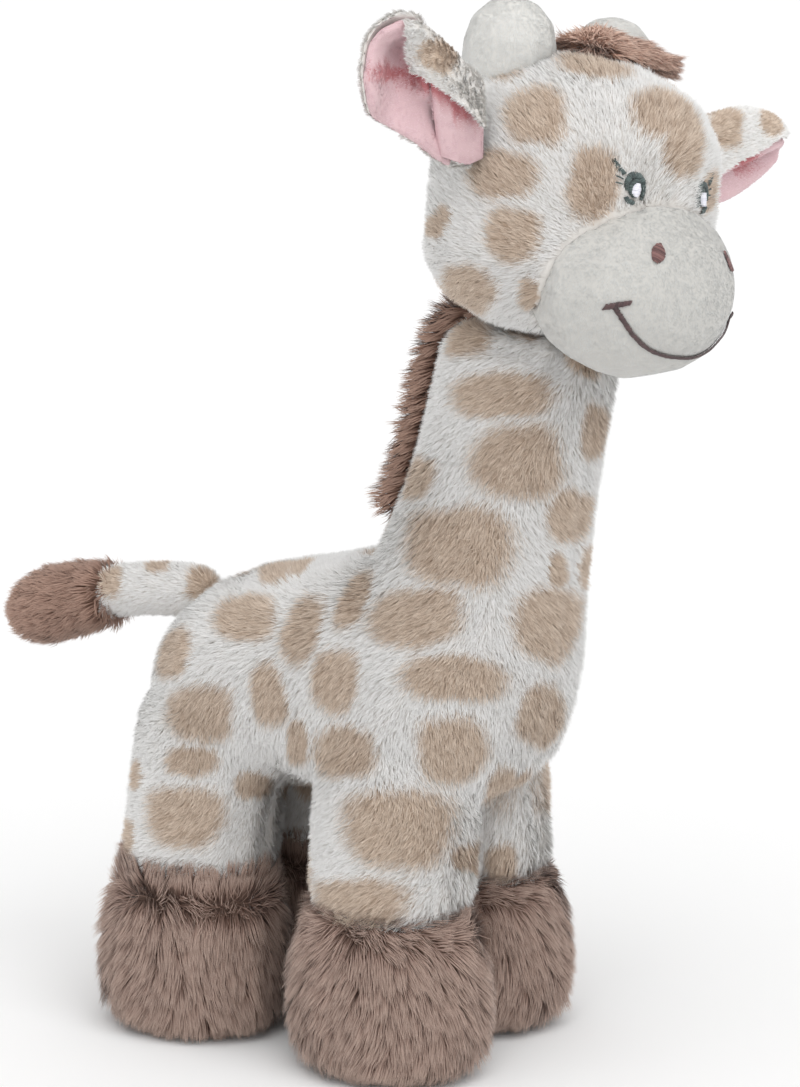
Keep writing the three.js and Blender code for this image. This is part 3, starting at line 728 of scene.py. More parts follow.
# %% Mesh of a piece
TONE_LEVELS = 8


def smooth_object(name, mesh, numbers, material):
    """An object of this mesh, with named numbers on its points for the material to read."""
    for label, values in numbers.items():
        layer = mesh.attributes.new(label, "FLOAT", "POINT")
        layer.data.foreach_set("value", np.asarray(values, dtype=np.float32))
    mesh.materials.append(material)
    piece = bpy.data.objects.new(name, mesh)
    bpy.context.scene.collection.objects.link(piece)
    return piece


def pile_piece(name, skin, strands, material, spots=(), backing_shade=0.4, softness=0.15,
               calm=0.82):
    """The cloth and its strands in one mesh. Spots are dyed in with an edge of this softness."""
    random = strands["random"]
    count, stops = strands["path"].shape[:2]
    per_strand = 2 * (stops - 1) + 1
    points, facing, along, quads, tips = ribbon_arrays(strands, calm)
    tan = tan_share(strands["path"].mean(axis=1), strands["outward"], spots, random, softness)
    tan = np.round(tan * (TONE_LEVELS - 1)) / (TONE_LEVELS - 1)
    shade = np.round(strands["shade"] * (TONE_LEVELS - 1)) / (TONE_LEVELS - 1)
    backing_tan = tan_share(skin.points, skin.facing, spots, random, softness)
    all_points = np.concatenate([points, skin.points])
    on_backing = np.ones(len(skin.points))
    numbers = {
        "tan": np.concatenate([np.repeat(tan, per_strand), backing_tan]),
        "shade": np.concatenate([np.repeat(shade, per_strand), on_backing * backing_shade]),
        "along": np.concatenate([along, on_backing * 0]),
    }
    backing = skin.triangles + len(points)
    corners = np.concatenate([quads.reshape(-1), tips.reshape(-1), backing.reshape(-1)])
    starts = np.concatenate([
        np.arange(len(quads)) * 4,
        len(quads) * 4 + np.arange(len(tips) + len(backing)) * 3,
    ])
    mesh = bpy.data.meshes.new(name)
    mesh.vertices.add(len(all_points))
    mesh.vertices.foreach_set("co", all_points.astype(np.float32).reshape(-1))
    mesh.loops.add(len(corners))
    mesh.loops.foreach_set("vertex_index", corners.astype(np.int32))
    mesh.polygons.add(len(starts))
    mesh.polygons.foreach_set("loop_start", starts.astype(np.int32))
    mesh.polygons.foreach_set("use_smooth", np.ones(len(starts), dtype=bool))
    mesh.update(calc_edges=True)
    piece = smooth_object(name, mesh, numbers, material)

    # Each tone has its own column of the map, and a strand runs up it from root to tip.
    steps = TONE_LEVELS - 1
    column = (tan * steps * TONE_LEVELS + shade * steps).repeat(per_strand)
    inside = np.tile(np.append(np.tile([0.2, 0.8], stops - 1), 0.5), count)
    strand_u = (column + inside) / TONE_LEVELS ** 2
    strand_v = 0.05 + 0.93 * along
    u, v = np.empty(len(corners)), np.empty(len(corners))
    strand_corners = corners[:quads.size + tips.size]
    u[:len(strand_corners)] = strand_u[strand_corners]
    v[:len(strand_corners)] = strand_v[strand_corners]
    face_tan = np.round(backing_tan[skin.triangles].mean(axis=1) * steps)
    face_column = face_tan * TONE_LEVELS + round(backing_shade * steps)
    face_u = (face_column[:, None] + np.array([0.2, 0.5, 0.8])) / TONE_LEVELS ** 2
    u[len(strand_corners):] = face_u.reshape(-1)
    v[len(strand_corners):] = np.tile([0.0, 0.03, 0.0], len(skin.triangles))
    bake_map = mesh.uv_layers.new(name="OFBake")
    bake_map.uv.foreach_set("vector", np.stack([u, v], axis=1).astype(np.float32).reshape(-1))
    mesh.validate(clean_customdata=False)
    mesh.normals_split_custom_set_from_vertices(
        np.concatenate([facing, skin.facing]).astype(np.float32))
    print(name, count, "strands,", len(quads) * 2 + len(tips) + len(backing), "triangles")
    return piece


def finish_piece(piece, body, replaced):
    """Says what the piece moves with, and hides the model's nodes that it stands for."""
    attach(piece, body)
    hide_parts(*replaced)


print("tones of a finish", TONE_LEVELS ** 2)

# %% [markdown]
# ## The finishes
# All the pile shares one kind of material. Its colour runs from a dark to a light shade of
# white, or of tan inside a spot, from strand to strand. Roots are darker than tips, because
# little light gets down between the strands. A touch of sheen gives the soft rim that cloth
# fibres have.

# %% Colours
def linear(red, green, blue):
    """A colour as seen on screen, 0 to 255, as the linear numbers that a shader takes."""
    def open_up(value):
        value = value / 255
        return value / 12.92 if value <= 0.04045 else ((value + 0.055) / 1.055) ** 2.4
    return (open_up(red), open_up(green), open_up(blue), 1.0)


def mix_colours(nodes, links, amount, first, second, blend="MIX"):
    mix = nodes.new("ShaderNodeMix")
    mix.data_type = "RGBA"
    mix.blend_type = blend
    for socket, value in ((mix.inputs[0], amount), (mix.inputs[6], first), (mix.inputs[7], second)):
        if isinstance(value, (tuple, float, int)):
            socket.default_value = value
        else:
            links.new(value, socket)
    return mix.outputs[2]


print("mid grey is", round(linear(128, 128, 128)[0], 3), "of white in a shader")

# %% [markdown]
# One function makes the material of every pile, long or short. The three numbers on the
# points drive it, so nothing in it depends on where the camera or the lamps are.

# %% Pile material
def pile_material(name, dark, light, spot_and_crease_shade_dark=None, spot_and_crease_shade_light=None, tip=None, root=0.55,
                  roughness=0.85, sheen=0.25):
    material = bpy.data.materials.new(name)
    material.use_nodes = True
    nodes, links = material.node_tree.nodes, material.node_tree.links
    shader = nodes["Principled BSDF"]

    def number(label):
        node = nodes.new("ShaderNodeAttribute")
        node.attribute_name = label
        return node.outputs["Fac"]

    def up_the_strand(start, stop, most=1.0):
        """0 up to the start share of the strand, and then rising to the most at the stop."""
        rise = nodes.new("ShaderNodeMapRange")
        rise.inputs["From Min"].default_value = start
        rise.inputs["From Max"].default_value = stop
        rise.inputs["To Max"].default_value = most
        links.new(number("along"), rise.inputs["Value"])
        return rise.outputs["Result"]

    colour = mix_colours(nodes, links, number("shade"), dark, light)
    # Spot tones: a tan print on the plush, and painted crease shade on the ear's pink lining.
    if spot_and_crease_shade_dark:
        tan = mix_colours(nodes, links, number("shade"), spot_and_crease_shade_dark, spot_and_crease_shade_light)
        colour = mix_colours(nodes, links, number("tan"), colour, tan)
    root_colour = (root, root * 0.97, root * 0.94, 1.0)
    deep = mix_colours(nodes, links, 1.0, colour, root_colour, "MULTIPLY")
    colour = mix_colours(nodes, links, up_the_strand(0.0, 0.7), deep, colour)
    if tip:
        colour = mix_colours(nodes, links, up_the_strand(0.45, 1.0, 0.8), colour, tip)
    links.new(colour, shader.inputs["Base Color"])
    shader.inputs["Roughness"].default_value = roughness
    shader.inputs["Specular IOR Level"].default_value = 0.15
    shader.inputs["Sheen Weight"].default_value = sheen
    shader.inputs["Sheen Roughness"].default_value = 0.5
    return material


print("materials so far", len(bpy.data.materials))

# %% [markdown]
# Each finish takes a dark and a light shade. The brown piles also fade towards their tips, and
# the smooth cloths are nearly one shade throughout.

# %% The finishes of this toy
plush_finish = pile_material(
    "spotted_plush", linear(235, 235, 233), linear(250, 249, 248),
    spot_and_crease_shade_dark=linear(182, 159, 139), spot_and_crease_shade_light=linear(238, 222, 205), root=0.9)
long_pile_finish = pile_material(
    "long_brown_pile", linear(116, 88, 77), linear(174, 146, 133),
    tip=linear(208, 186, 173), root=0.42)
mane_finish = pile_material(
    "mane_pile", linear(124, 92, 78), linear(176, 141, 124),
    tip=linear(196, 166, 150), root=0.5)
forelock_finish = pile_material(
    "forelock_pile", linear(180, 138, 120), linear(232, 196, 176),
    tip=linear(232, 206, 190), root=0.64)
velboa_finish = pile_material(
    "cream_velboa", linear(198, 199, 197), linear(208, 209, 207), root=0.97, sheen=0.3)
horn_finish = pile_material(
    "horn_velboa", linear(219, 220, 218), linear(228, 229, 227), root=0.97, sheen=0.3)
# The two deeper pinks are painted shade, for the creases where the ear's lining folds.
pink_finish = pile_material(
    "pink_velboa", linear(228, 196, 203), linear(236, 208, 214),
    spot_and_crease_shade_dark=linear(190, 112, 118), spot_and_crease_shade_light=linear(208, 138, 144), root=0.9, sheen=0.3)
print("finishes", [material.name for material in bpy.data.materials])


# %% [markdown]
# ## The body's plush
# The body is two side panels and an underbody panel that runs down inside the legs. The
# pile is about three millimetres long and is brushed downwards in soft swirls. It stops at
# the feet, and hardly any grows where the head covers the neck.

# %% Short plush
PLUSH_LENGTH = 3.3
PLUSH_WIDTH = 0.29


def grow_plush(skin, count, seed, comb, shorter=0.0, **settings):
    """Short plush in tufts of a dozen strands, with any other settings of grow."""
    return grow(skin, count, seed, PLUSH_LENGTH - shorter, PLUSH_WIDTH, (50, 50), comb, parts=1,
                tuft=12, pull=0.32, **settings)


def brushed_one_way(direction):
    """A comb that lays every strand in the same direction."""
    def comb(roots, outward):
        return np.tile(np.array(direction), (len(roots), 1))
    return comb


print("plush", PLUSH_LENGTH, "mm long")

# %% Body pile

def brushed_down(roots, outward):
    """Down on the whole, in wide swirls as hands leave them."""
    across, back, up = around_body(roots).T
    return np.stack([
        np.sin(back * 95 + up * 61),
        0.55 + 0.5 * np.sin(up * 83 + across * 70),
        -1.1 + 0.5 * np.cos(across * 77 + back * 58),
    ], axis=1)


UNDERBODY, LEFT_SIDE, RIGHT_SIDE = 0, 1, 2


def panel_of(middles):
    across, _, up = around_body(middles).T
    under = (np.abs(across) < arch_half_width(up)) & (up < ARCH_TOP)
    return np.where(under, UNDERBODY, np.where(across > 0, LEFT_SIDE, RIGHT_SIDE))


def out_of_feet(middles):
    return middles[:, 2] > FOOT_SEAM - 5 * MM


def plush_weight(points, facing):
    """Thin near the neck's top, which the head covers, and none inside the feet."""
    in_skull = np.linalg.norm(in_head(points) / HEAD_HALF, axis=1) / MM < 0.93
    seam = FOOT_SEAM + np.where(around_body(points)[:, 1] > 0, 2.0, -2.0) * MM
    return np.where(points[:, 2] < seam, 0.0, np.where(in_skull, 0.02, 1.0))


for panel, node, count, seed in (
    (RIGHT_SIDE, "side_panel_right", 165000, 21),
    (LEFT_SIDE, "side_panel_left", 150000, 22),
    (UNDERBODY, "underbody_panel", 60000, 23),
):
    part = body_skin.only(lambda middles: (panel_of(middles) == panel) & out_of_feet(middles))
    strands = grow_plush(part, count, seed, brushed_down, weight=plush_weight, alike=0.35)
    piece = pile_piece(f"{node}_plush", part, strands, plush_finish, body_spots)
    finish_piece(piece, "plush_body", (node,))

# %% [markdown]
# ## The head's plush
# The head is brushed away from the muzzle. No pile grows where the muzzle is sewn on, and
# it is shorter near the eyes so that the stitching shows.

# %% Head pile
MUZZLE_MIDDLE = np.array([0, -23, -21.5]) * MM
MUZZLE_HALF = np.array([28.8, 24, 23.2]) * MM
EYE_ACROSS, EYE_UP = 12.4, 1.6
EYE_HALF = 2.6 * MM


def from_muzzle(points):
    """Below 1 inside the muzzle, above 1 outside it."""
    return np.linalg.norm((in_head(points) - MUZZLE_MIDDLE) / MUZZLE_HALF, axis=1)


def brushed_from_muzzle(roots, outward):
    place = in_head(roots)
    away = unit(place - MUZZLE_MIDDLE)
    swirl = 0.35 * np.sin(roots @ np.array([[70, 20, -50], [-60, 90, 10], [30, -40, 80]]))
    return away @ head_turn.T + swirl


def eye_distance(points):
    """The distance to the nearer eye, which counts double towards the nose."""
    across, back, up = in_head(points).T
    aside = np.abs(across) - EYE_ACROSS * MM
    aside = np.where(aside < -EYE_HALF, 2.2 * aside, aside)
    return np.where(back < 0, np.hypot(aside, up - EYE_UP * MM), 1.0)


def head_weight(points, facing):
    by_eye = np.where(eye_distance(points) < EYE_HALF, 0.15, 1.0)
    return np.where(from_muzzle(points) < 0.97, 0.0, by_eye)


def short_by_eyes(roots, outward):
    return np.clip(eye_distance(roots) / (7 * MM), 0.35, 1.0)


for side, node, seed in ((1, "head_panel_left", 31), (-1, "head_panel_right", 32)):
    part = head_skin.only(lambda middles: in_head(middles)[:, 0] * side > 0)
    strands = grow_plush(part, 56000, seed, brushed_from_muzzle, shorter=0.2,
                         weight=head_weight, trim=short_by_eyes, alike=0.35)
    piece = pile_piece(f"{node}_plush", part, strands, plush_finish, head_spots)
    finish_piece(piece, "plush_body", (node,))

# %% [markdown]
# ## Muzzle and horns
# These are sewn from a cloth with a nap under a millimetre long, which lies so close that it
# reads as soft skin. The nap is grown too, as single short blades, because it softens the
# outline and catches the light as the real cloth does.

# %% Nap on the muzzle and the horns
NAP_LENGTH = 0.75
NAP_WIDTH = 0.3
NAP_CALM = 0.96
MUZZLE_NAP_START = 0.86


def grow_nap(skin, count, seed, comb, weight=None):
    """Nap that lies almost flat and is lit almost as a plain surface is."""
    return grow(skin, count, seed, NAP_LENGTH, NAP_WIDTH, (80, 80), comb, parts=1, tuft=30,
                pull=0.2, frizz=0.05, weight=weight, twist=0.12)


def outside_head(points, facing):
    """None where the muzzle lies hidden in the head."""
    place = in_head(points) / (HEAD_HALF * MM)
    return np.where(np.linalg.norm(place, axis=1) < MUZZLE_NAP_START, 0.0, 1.0)


down_the_face = brushed_one_way(head_turn @ np.array([0.2, 0.3, -1.0]))
strands = grow_nap(muzzle_skin, 46000, 41, down_the_face, outside_head)
piece = pile_piece("muzzle_velboa", muzzle_skin, strands, velboa_finish, calm=NAP_CALM)
finish_piece(piece, "plush_body", ("muzzle_cover",))

for side, seed in (("left", 42), ("right", 43)):
    horn_skin = rounded_skin([f"horn_cover_{side}", f"horn_filling_{side}"], 1.0, 8)
    strands = grow_nap(horn_skin, 22000, seed, down_the_face)
    piece = pile_piece(f"horn_velboa_{side}", horn_skin, strands, horn_finish, calm=NAP_CALM)
    finish_piece(piece, "plush_body", (f"horn_cover_{side}",))

# %% [markdown]
# ## Face embroidery
# The eyes, the nostrils and the smile are satin stitch: threads laid side by side across a
# shape. Each thread here is a thin rounded ribbon that follows the cloth, and its two ends
# dip down where the needle went through. The shapes are drawn on the face as seen from the
# front, in millimetres, and are then cast straight back onto the cloth.

# %% Threads across a shape
THREAD_SPACING = 0.3


def band(path, widths, slant=0.25, spacing=THREAD_SPACING):
    """Threads laid across a line of stitching, as pairs of ends."""
    path, widths = np.array(path, float), np.array(widths, float)
    steps = np.linalg.norm(np.diff(path, axis=0), axis=1)
    along = np.append(0, np.cumsum(steps))
    threads = []
    for place in np.arange(0, along[-1] + 0.01, spacing):
        middle, ahead, behind = (
            np.array([np.interp(place + step, along, path[:, axis]) for axis in (0, 1)])
            for step in (0, 0.2, -0.2))
        tangent = unit(ahead - behind)
        across = np.array([-tangent[1], tangent[0]]) + tangent * slant
        half = across * np.interp(place, along, widths) / 2
        threads.append((middle - half, middle + half))
    return threads


def oval(middle, half_width, half_height, turn, spacing=THREAD_SPACING):
    """Threads laid across an oval, from edge to edge."""
    angle = math.radians(turn)
    side = np.array([math.cos(angle), math.sin(angle)])
    rise = np.array([-math.sin(angle), math.cos(angle)])
    threads = []
    for up in np.arange(-half_height + spacing / 2, half_height, spacing):
        half = half_width * math.sqrt(1 - (up / half_height) ** 2)
        centre = np.array(middle) + rise * up
        threads.append((centre - side * half, centre + side * half))
    return threads


print("threads lie", THREAD_SPACING, "mm apart")

# %% [markdown]
# A thread is a ribbon with a rounded back: five points across and five rows along. Real
# threads are never quite alike, so each has its own width and shade and shifts a little.

# %% A piece of stitching
FACE_FRONT = -90


def on_face(skin, across, up):
    """The place on the cloth behind a point of the face, and the way the cloth faces there."""
    start = head_place @ (Vector((across, FACE_FRONT, up)) * MM)
    backwards = Vector(head_turn @ np.array([0.0, 1.0, 0.0]))
    spot, facing, _, _ = skin.tree.ray_cast(start, backwards)
    return np.array(spot), np.array(facing)


def plain_piece(name, points, faces, material, numbers):
    """A smooth piece of these points and faces, with named numbers for its material."""
    mesh = bpy.data.meshes.new(name)
    mesh.from_pydata([tuple(point) for point in points], [], [tuple(face) for face in faces])
    mesh.polygons.foreach_set("use_smooth", np.ones(len(mesh.polygons), dtype=bool))
    print(name, len(mesh.polygons), "faces")
    return smooth_object(name, mesh, numbers, material)


def thread_piece(name, skin, threads, lift, material, node, seed):
    """One piece made of all these threads, in place of the model's stitching node."""
    random = np.random.default_rng(seed)
    # Shares of a thread's length, and places across its width with how high each stands.
    rows = (0.0, 0.15, 0.5, 0.85, 1.0)
    columns = ((-0.5, 0.0), (-0.32, 0.75), (0.0, 1.0), (0.32, 0.75), (0.5, 0.0))
    next_row = len(columns)
    points, faces, shades = [], [], []
    for start, end in threads:
        start, end = start + random.normal(0, 0.05, 2), end + random.normal(0, 0.05, 2)
        side = unit(np.array([start[1] - end[1], end[0] - start[0]]))
        width = THREAD_SPACING * random.uniform(1.15, 1.5)
        shade = random.random()
        base = len(points)
        for share in rows:
            middle = start + (end - start) * share
            height = lift * (0.35 + 0.65 * math.sin(math.pi * share) ** 0.6)
            for aside, rise in columns:
                place, facing = on_face(skin, *(middle + side * aside * width))
                points.append(place + facing * (height + 0.5 * width * rise - 0.1) * MM)
                shades.append(shade)
        for row in range(len(rows) - 1):
            for column in range(next_row - 1):
                corner = base + row * next_row + column
                faces.append((corner, corner + 1, corner + 1 + next_row, corner + next_row))
    piece = plain_piece(name, points, faces, material, {"shade": shades})
    finish_piece(piece, "plush_body", (node,))


print("stitching is drawn from", -FACE_FRONT, "mm before the head's middle")

# %% [markdown]
# Embroidery thread is twisted, so it has a fine grain across its length and a slight gloss.
# The same material with a coarser grain and no gloss serves for loose fibre.

# %% Thread material
def fine_material(name, dark, light, grain, bump, roughness, sheen):
    """Thread or loose fibre: a mottled colour over a fine twisted grain."""
    material = bpy.data.materials.new(name)
    material.use_nodes = True
    nodes, links = material.node_tree.nodes, material.node_tree.links
    shader = nodes["Principled BSDF"]
    place = nodes.new("ShaderNodeTexCoord")
    grain_noise = nodes.new("ShaderNodeTexNoise")
    grain_noise.inputs["Scale"].default_value = grain
    grain_noise.inputs["Detail"].default_value = 4
    grain_noise.inputs["Distortion"].default_value = 1.5
    links.new(place.outputs["Object"], grain_noise.inputs["Vector"])
    strand = nodes.new("ShaderNodeAttribute")
    strand.attribute_name = "shade"
    blend = nodes.new("ShaderNodeMath")
    blend.operation = "MULTIPLY_ADD"
    links.new(grain_noise.outputs["Fac"], blend.inputs[0])
    blend.inputs[1].default_value = 0.6
    links.new(strand.outputs["Fac"], blend.inputs[2])
    share = nodes.new("ShaderNodeMapRange")
    share.inputs["From Min"].default_value = 0.2
    share.inputs["From Max"].default_value = 1.4
    links.new(blend.outputs[0], share.inputs["Value"])
    colour = mix_colours(nodes, links, share.outputs["Result"], dark, light)
    links.new(colour, shader.inputs["Base Color"])
    raised = nodes.new("ShaderNodeBump")
    raised.inputs["Strength"].default_value = bump
    raised.inputs["Distance"].default_value = 0.0001
    links.new(grain_noise.outputs["Fac"], raised.inputs["Height"])
    links.new(raised.outputs["Normal"], shader.inputs["Normal"])
    shader.inputs["Roughness"].default_value = roughness
    shader.inputs["Sheen Weight"].default_value = sheen
    return material


def thread_material(name, dark, light, roughness=0.5, sheen=0.3):
    return fine_material(name, linear(*dark), linear(*light), 5000, 0.5, roughness, sheen)


dark_thread = thread_material("dark_thread", (38, 50, 50), (92, 108, 106))
brown_thread = thread_material("brown_thread", (48, 30, 32), (88, 62, 62))
nostril_thread = thread_material("nostril_thread", (70, 38, 38), (138, 98, 94))
white_thread = thread_material("white_thread", (226, 226, 236), (250, 249, 255), 0.45, 0.2)
threads_used = (dark_thread, brown_thread, nostril_thread, white_thread)
print("threads", [thread.name for thread in threads_used])

# %% [markdown]
# Each eye is a dark oval in an arch of dark thread, with a white light over it, one thick
# lash and two faint ones. The shapes are drawn for one eye, as distances outwards from the
# nose and upwards, and mirrored for the other.

# %% Eyes and nostrils
EYE_ARCH = ((-2.0, -2.0), (-2.5, 0.3), (-2.1, 2.3), (-0.8, 3.5),
            (0.7, 3.7), (1.9, 3.0), (2.5, 1.4), (2.3, -0.4))
EYE_ARCH_WIDTHS = (0.7, 1.4, 1.8, 1.8, 1.7, 1.7, 1.2, 0.6)
EYE_FOOT = ((2.3, -1.9), (1.5, -2.9), (0.4, -3.1))
EYE_LASH = ((5.9, 6.9), (4.7, 5.0), (3.0, 3.6))
FAINT_LASHES = (((5.4, 3.1), (3.3, 2.3)), ((5.2, 1.4), (3.3, 1.1)))
NOSTRIL_SHIFT = -0.9
NOSTRIL_ACROSS, NOSTRIL_UP = 12.5, -13.1

for name, side, seed in (("left", 1, 91), ("right", -1, 92)):
    middle = np.array([side * EYE_ACROSS, EYE_UP])

    def placed(path):
        return [middle + np.array([side * out, up]) for out, up in path]

    threads = band(placed(EYE_ARCH), EYE_ARCH_WIDTHS)
    threads += band(placed(EYE_FOOT), (1.0, 1.5, 1.1))
    threads += band(placed(EYE_LASH), (1.1, 1.4, 1.2))
    threads += oval(middle + np.array([0, 0.5]), 1.9, 2.3, side * 8)
    threads += [tuple(placed(lash)) for lash in FAINT_LASHES]
    thread_piece(f"eye_embroidery_{name}", head_skin, threads, 1.25, dark_thread,
                 f"eye_stitching_{name}", seed)
    threads = oval(middle, 1.25, 1.7, side * 8)
    thread_piece(f"eye_light_{name}", head_skin, threads, 1.95, white_thread,
                 f"eye_highlight_{name}", seed + 2)
    nostril = (NOSTRIL_SHIFT + side * NOSTRIL_ACROSS, NOSTRIL_UP)
    threads = oval(nostril, 1.35, 2.5, side * 28)
    thread_piece(f"nostril_embroidery_{name}", muzzle_skin, threads, 0.75, nostril_thread,
                 f"nostril_{name}", seed + 4)

# %% [markdown]
# The smile is one long curve that is flat at its bottom and steep at its ends, with a short
# tick across each end.

# %% Smile
SMILE_ACROSS, SMILE_HALF_WIDTH, SMILE_UP, SMILE_DIP = 1.1, 23, -26.5, 11
shares = np.linspace(-1, 1, 41)
smile = [
    (SMILE_ACROSS + SMILE_HALF_WIDTH * share, SMILE_UP - SMILE_DIP * (1 - abs(share) ** 2.7))
    for share in shares
]
threads = band(smile, np.interp(np.abs(shares), (0, 1), (0.6, 0.85)), slant=0.9)
for side in (-1, 1):
    outer, inner = (SMILE_ACROSS + side * (SMILE_HALF_WIDTH + out) for out in (1.3, -3.0))
    threads += band(((outer, SMILE_UP - 0.7), (inner, SMILE_UP + 1.0)), (1.5, 1.1), slant=0.5)
thread_piece("smile_embroidery", muzzle_skin, threads, 0.8, brown_thread,
             "mouth_stitching", 97)

# %% [markdown]
# ## Stuffing
# Inside the covers is loose fibre, pushed in by the handful, so its surface is lumpy. Each
# filling is rounded like the covers and then pressed in unevenly, which also keeps it clear
# of the cloth.

# %% Loose fibre
fibre_finish = fine_material(
    "fibre", linear(232, 232, 228), linear(252, 252, 250), 900, 0.8, 0.95, 0.2)


def lumps(points, size):
    """Uneven waves from 0 to 1 whose crests lie about size millimetres apart."""
    turns = np.array([[1.0, 0.3, -0.5], [-0.4, 1.1, 0.6], [0.7, -0.8, 0.9], [1.6, 1.3, -1.1]])
    waves = np.sin(points @ turns.T * (2 * math.pi / (size * MM)) + np.array([0.4, 2.1, 3.9, 5.2]))
    return 0.5 + 0.5 * waves.mean(axis=1)


for node in sorted(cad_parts):
    if "_filling" not in node:
        continue
    small = node.startswith(("horn", "tail", "muzzle"))
    stuffing = rounded_skin([node], 1.4 if small else 2.6, 4, swell=0)
    pressed = lumps(stuffing.points, 9 if small else 16)
    stuffing.push(-(0.1 + (0.5 if small else 1.1) * pressed) * MM)
    # The fibre is painted a little darker where it is pressed in deeper, as shade in the hollows.
    piece = plain_piece(node.replace("_filling", "_fibre"), stuffing.points,
                        stuffing.triangles, fibre_finish, {"shade": 1 - pressed})
    body = "tail" if node.startswith("tail") else "plush_body"
    finish_piece(piece, body, (node,))

# %% [markdown]
# ## Feet
# The feet are sewn from a pile nearly three times as long as the rest, brushed down and
# outwards so that it fans out over the ground. Its top few millimetres are brushed up, and
# hide the seam. Long strands bend on their way, and cling in small tufts and larger ones.

# %% Combing the feet
FOOT_PILE_LENGTH = 9.5
FOOT_PILE_WIDTH = 0.22
FOOT_PILE_DEPTH = 1.8
HIND_PILE_RAISED = 3.5
RISE_OVER_SEAM = {"hind": 0.9, "front": 0.2}
SOLE_GAP = 0.4


def brushed_over_foot(middle, rise):
    """Down and out over the foot, but up over the seam in the top few millimetres."""
    def comb(roots, outward):
        away = unit((roots - middle) * np.array([1, 1, 0]))
        waves = roots @ np.array([[150, 40, -90], [60, 170, 50], [110, -120, 80]])
        swirl = 0.3 * np.sin(waves + middle[0] * 900)
        top = np.clip((roots[:, 2] - FOOT_SEAM + 9 * MM) / (5 * MM), 0, 1)
        return 0.55 * away + np.outer((1 + rise) * top - 1, [0, 0, 1.0]) + swirl
    return comb


def foot_weight(points, facing):
    """Thin under the sole, where the strands would only be crushed."""
    return np.where(facing[:, 2] < -0.8, 0.12, 1.0)


def short_under(roots, outward):
    low = np.clip(roots[:, 2] / (9 * MM), 0.45, 1.0)
    near_seam = np.clip((FOOT_SEAM - roots[:, 2]) / (6 * MM), 0.7, 1.0)
    return low * near_seam


print("foot pile", FOOT_PILE_LENGTH, "mm long")

# %% [markdown]
# The skin of a foot is drawn in first, so that the fanned pile fills the foot's real size,
# and it stays above the floor. On the hind feet the pile starts a little higher.

# %% Long pile on the feet
for index, leg in enumerate(LEGS):
    foot_nodes = [f"foot_{layer}_{leg}" for layer in ("cover", "filling", "sole")]
    foot_skin = rounded_skin(foot_nodes, 1.6, 7)
    foot_skin.push(np.full(len(foot_skin.points), -FOOT_PILE_DEPTH * MM))
    pair = leg.split("_")[0]
    if pair == "hind":
        near_top = np.clip((foot_skin.points[:, 2] - 28 * MM) / (14 * MM), 0, 1)
        foot_skin.points[:, 2] += HIND_PILE_RAISED * MM * near_top
    foot_skin.points[:, 2] = np.maximum(foot_skin.points[:, 2], SOLE_GAP * MM)
    foot_skin.refresh()
    middle = foot_skin.points.mean(axis=0)
    strands = grow(foot_skin, 46000, 51 + index, FOOT_PILE_LENGTH, FOOT_PILE_WIDTH, (38, 74),
                   brushed_over_foot(middle, RISE_OVER_SEAM[pair]), parts=2, tuft=12, pull=0.3,
                   frizz=0.06, weight=foot_weight, trim=short_under, floor_gap=0.3, clump=0.35,
                   alike=0.35, stray=0.14)
    piece = pile_piece(f"foot_pile_{leg}", foot_skin, strands, long_pile_finish, calm=0.72)
    covered = (f"foot_cover_{leg}", f"foot_sole_{leg}")
    finish_piece(piece, "plush_body", covered)

# %% [markdown]
# ## Mane
# The mane is a strip of brown pile let into the seam at the back of the neck. It stands out
# behind and droops a little.

# %% Mane
mane_skin = rounded_skin(["mane_strip"], 1.0, 8)
mane_skin.push(np.full(len(mane_skin.points), -1.2 * MM))
off_the_neck = brushed_one_way((0.0, 0.9, -0.6))
strands = grow(mane_skin, 10000, 61, 8.0, 0.34, (5, 40), off_the_neck, parts=3, tuft=14,
               pull=0.5)
piece = pile_piece("mane_pile", mane_skin, strands, mane_finish)
finish_piece(piece, "plush_body", ("mane_strip",))

# %% [markdown]
# ## Forelock
# The forelock is a tuft between the horns. As the camera sees it, its lower edge slopes, it
# has a crest near its thin end, and that end reaches behind the nearer horn. The form is
# pushed into that outline, in pixels of the picture, before the pile is grown.

# %% Forelock
LOWER_EDGE_X, LOWER_EDGE_Y, LOWER_EDGE_SLOPE = 588, 54, 0.15
CREST_X, CREST_WIDTH, CREST_HEIGHT = 596, 16, 9
SPREAD_FROM_X = 606
PARTING_X, PARTING_WIDTH = 592, 24

forelock_skin = rounded_skin(["forelock"], 1.0, 8)
forelock_skin.push(np.full(len(forelock_skin.points), -1.2 * MM))
x, y, distance = in_picture(forelock_skin.points)
raised = np.maximum(y - (LOWER_EDGE_Y + LOWER_EDGE_SLOPE * (x - LOWER_EDGE_X)), 0)
raised = raised + CREST_HEIGHT * np.exp(-((x - CREST_X) / CREST_WIDTH) ** 2)
raised = raised * distance / FOCUS_PIXELS
spread = 0.8 * np.maximum(SPREAD_FROM_X - x, 0) * distance / FOCUS_PIXELS
forelock_skin.points += np.outer(raised, camera_up) - np.outer(spread, camera_right)
forelock_skin.refresh()


def brushed_aside(roots, outward):
    """The tuft is parted: most of it falls to the left of the head, some to the right."""
    part = np.clip((in_picture(roots)[0] - PARTING_X) / PARTING_WIDTH, -1, 1)
    return np.outer(part, camera_right) + np.outer(0.25 - 0.5 * part, camera_up)


strands = grow(forelock_skin, 12000, 62, 6.5, 0.3, (45, 80), brushed_aside, parts=3, tuft=14, pull=0.4,
               alike=0.4)
piece = pile_piece("forelock_pile", forelock_skin, strands, forelock_finish)
finish_piece(piece, "plush_body", ("forelock",))

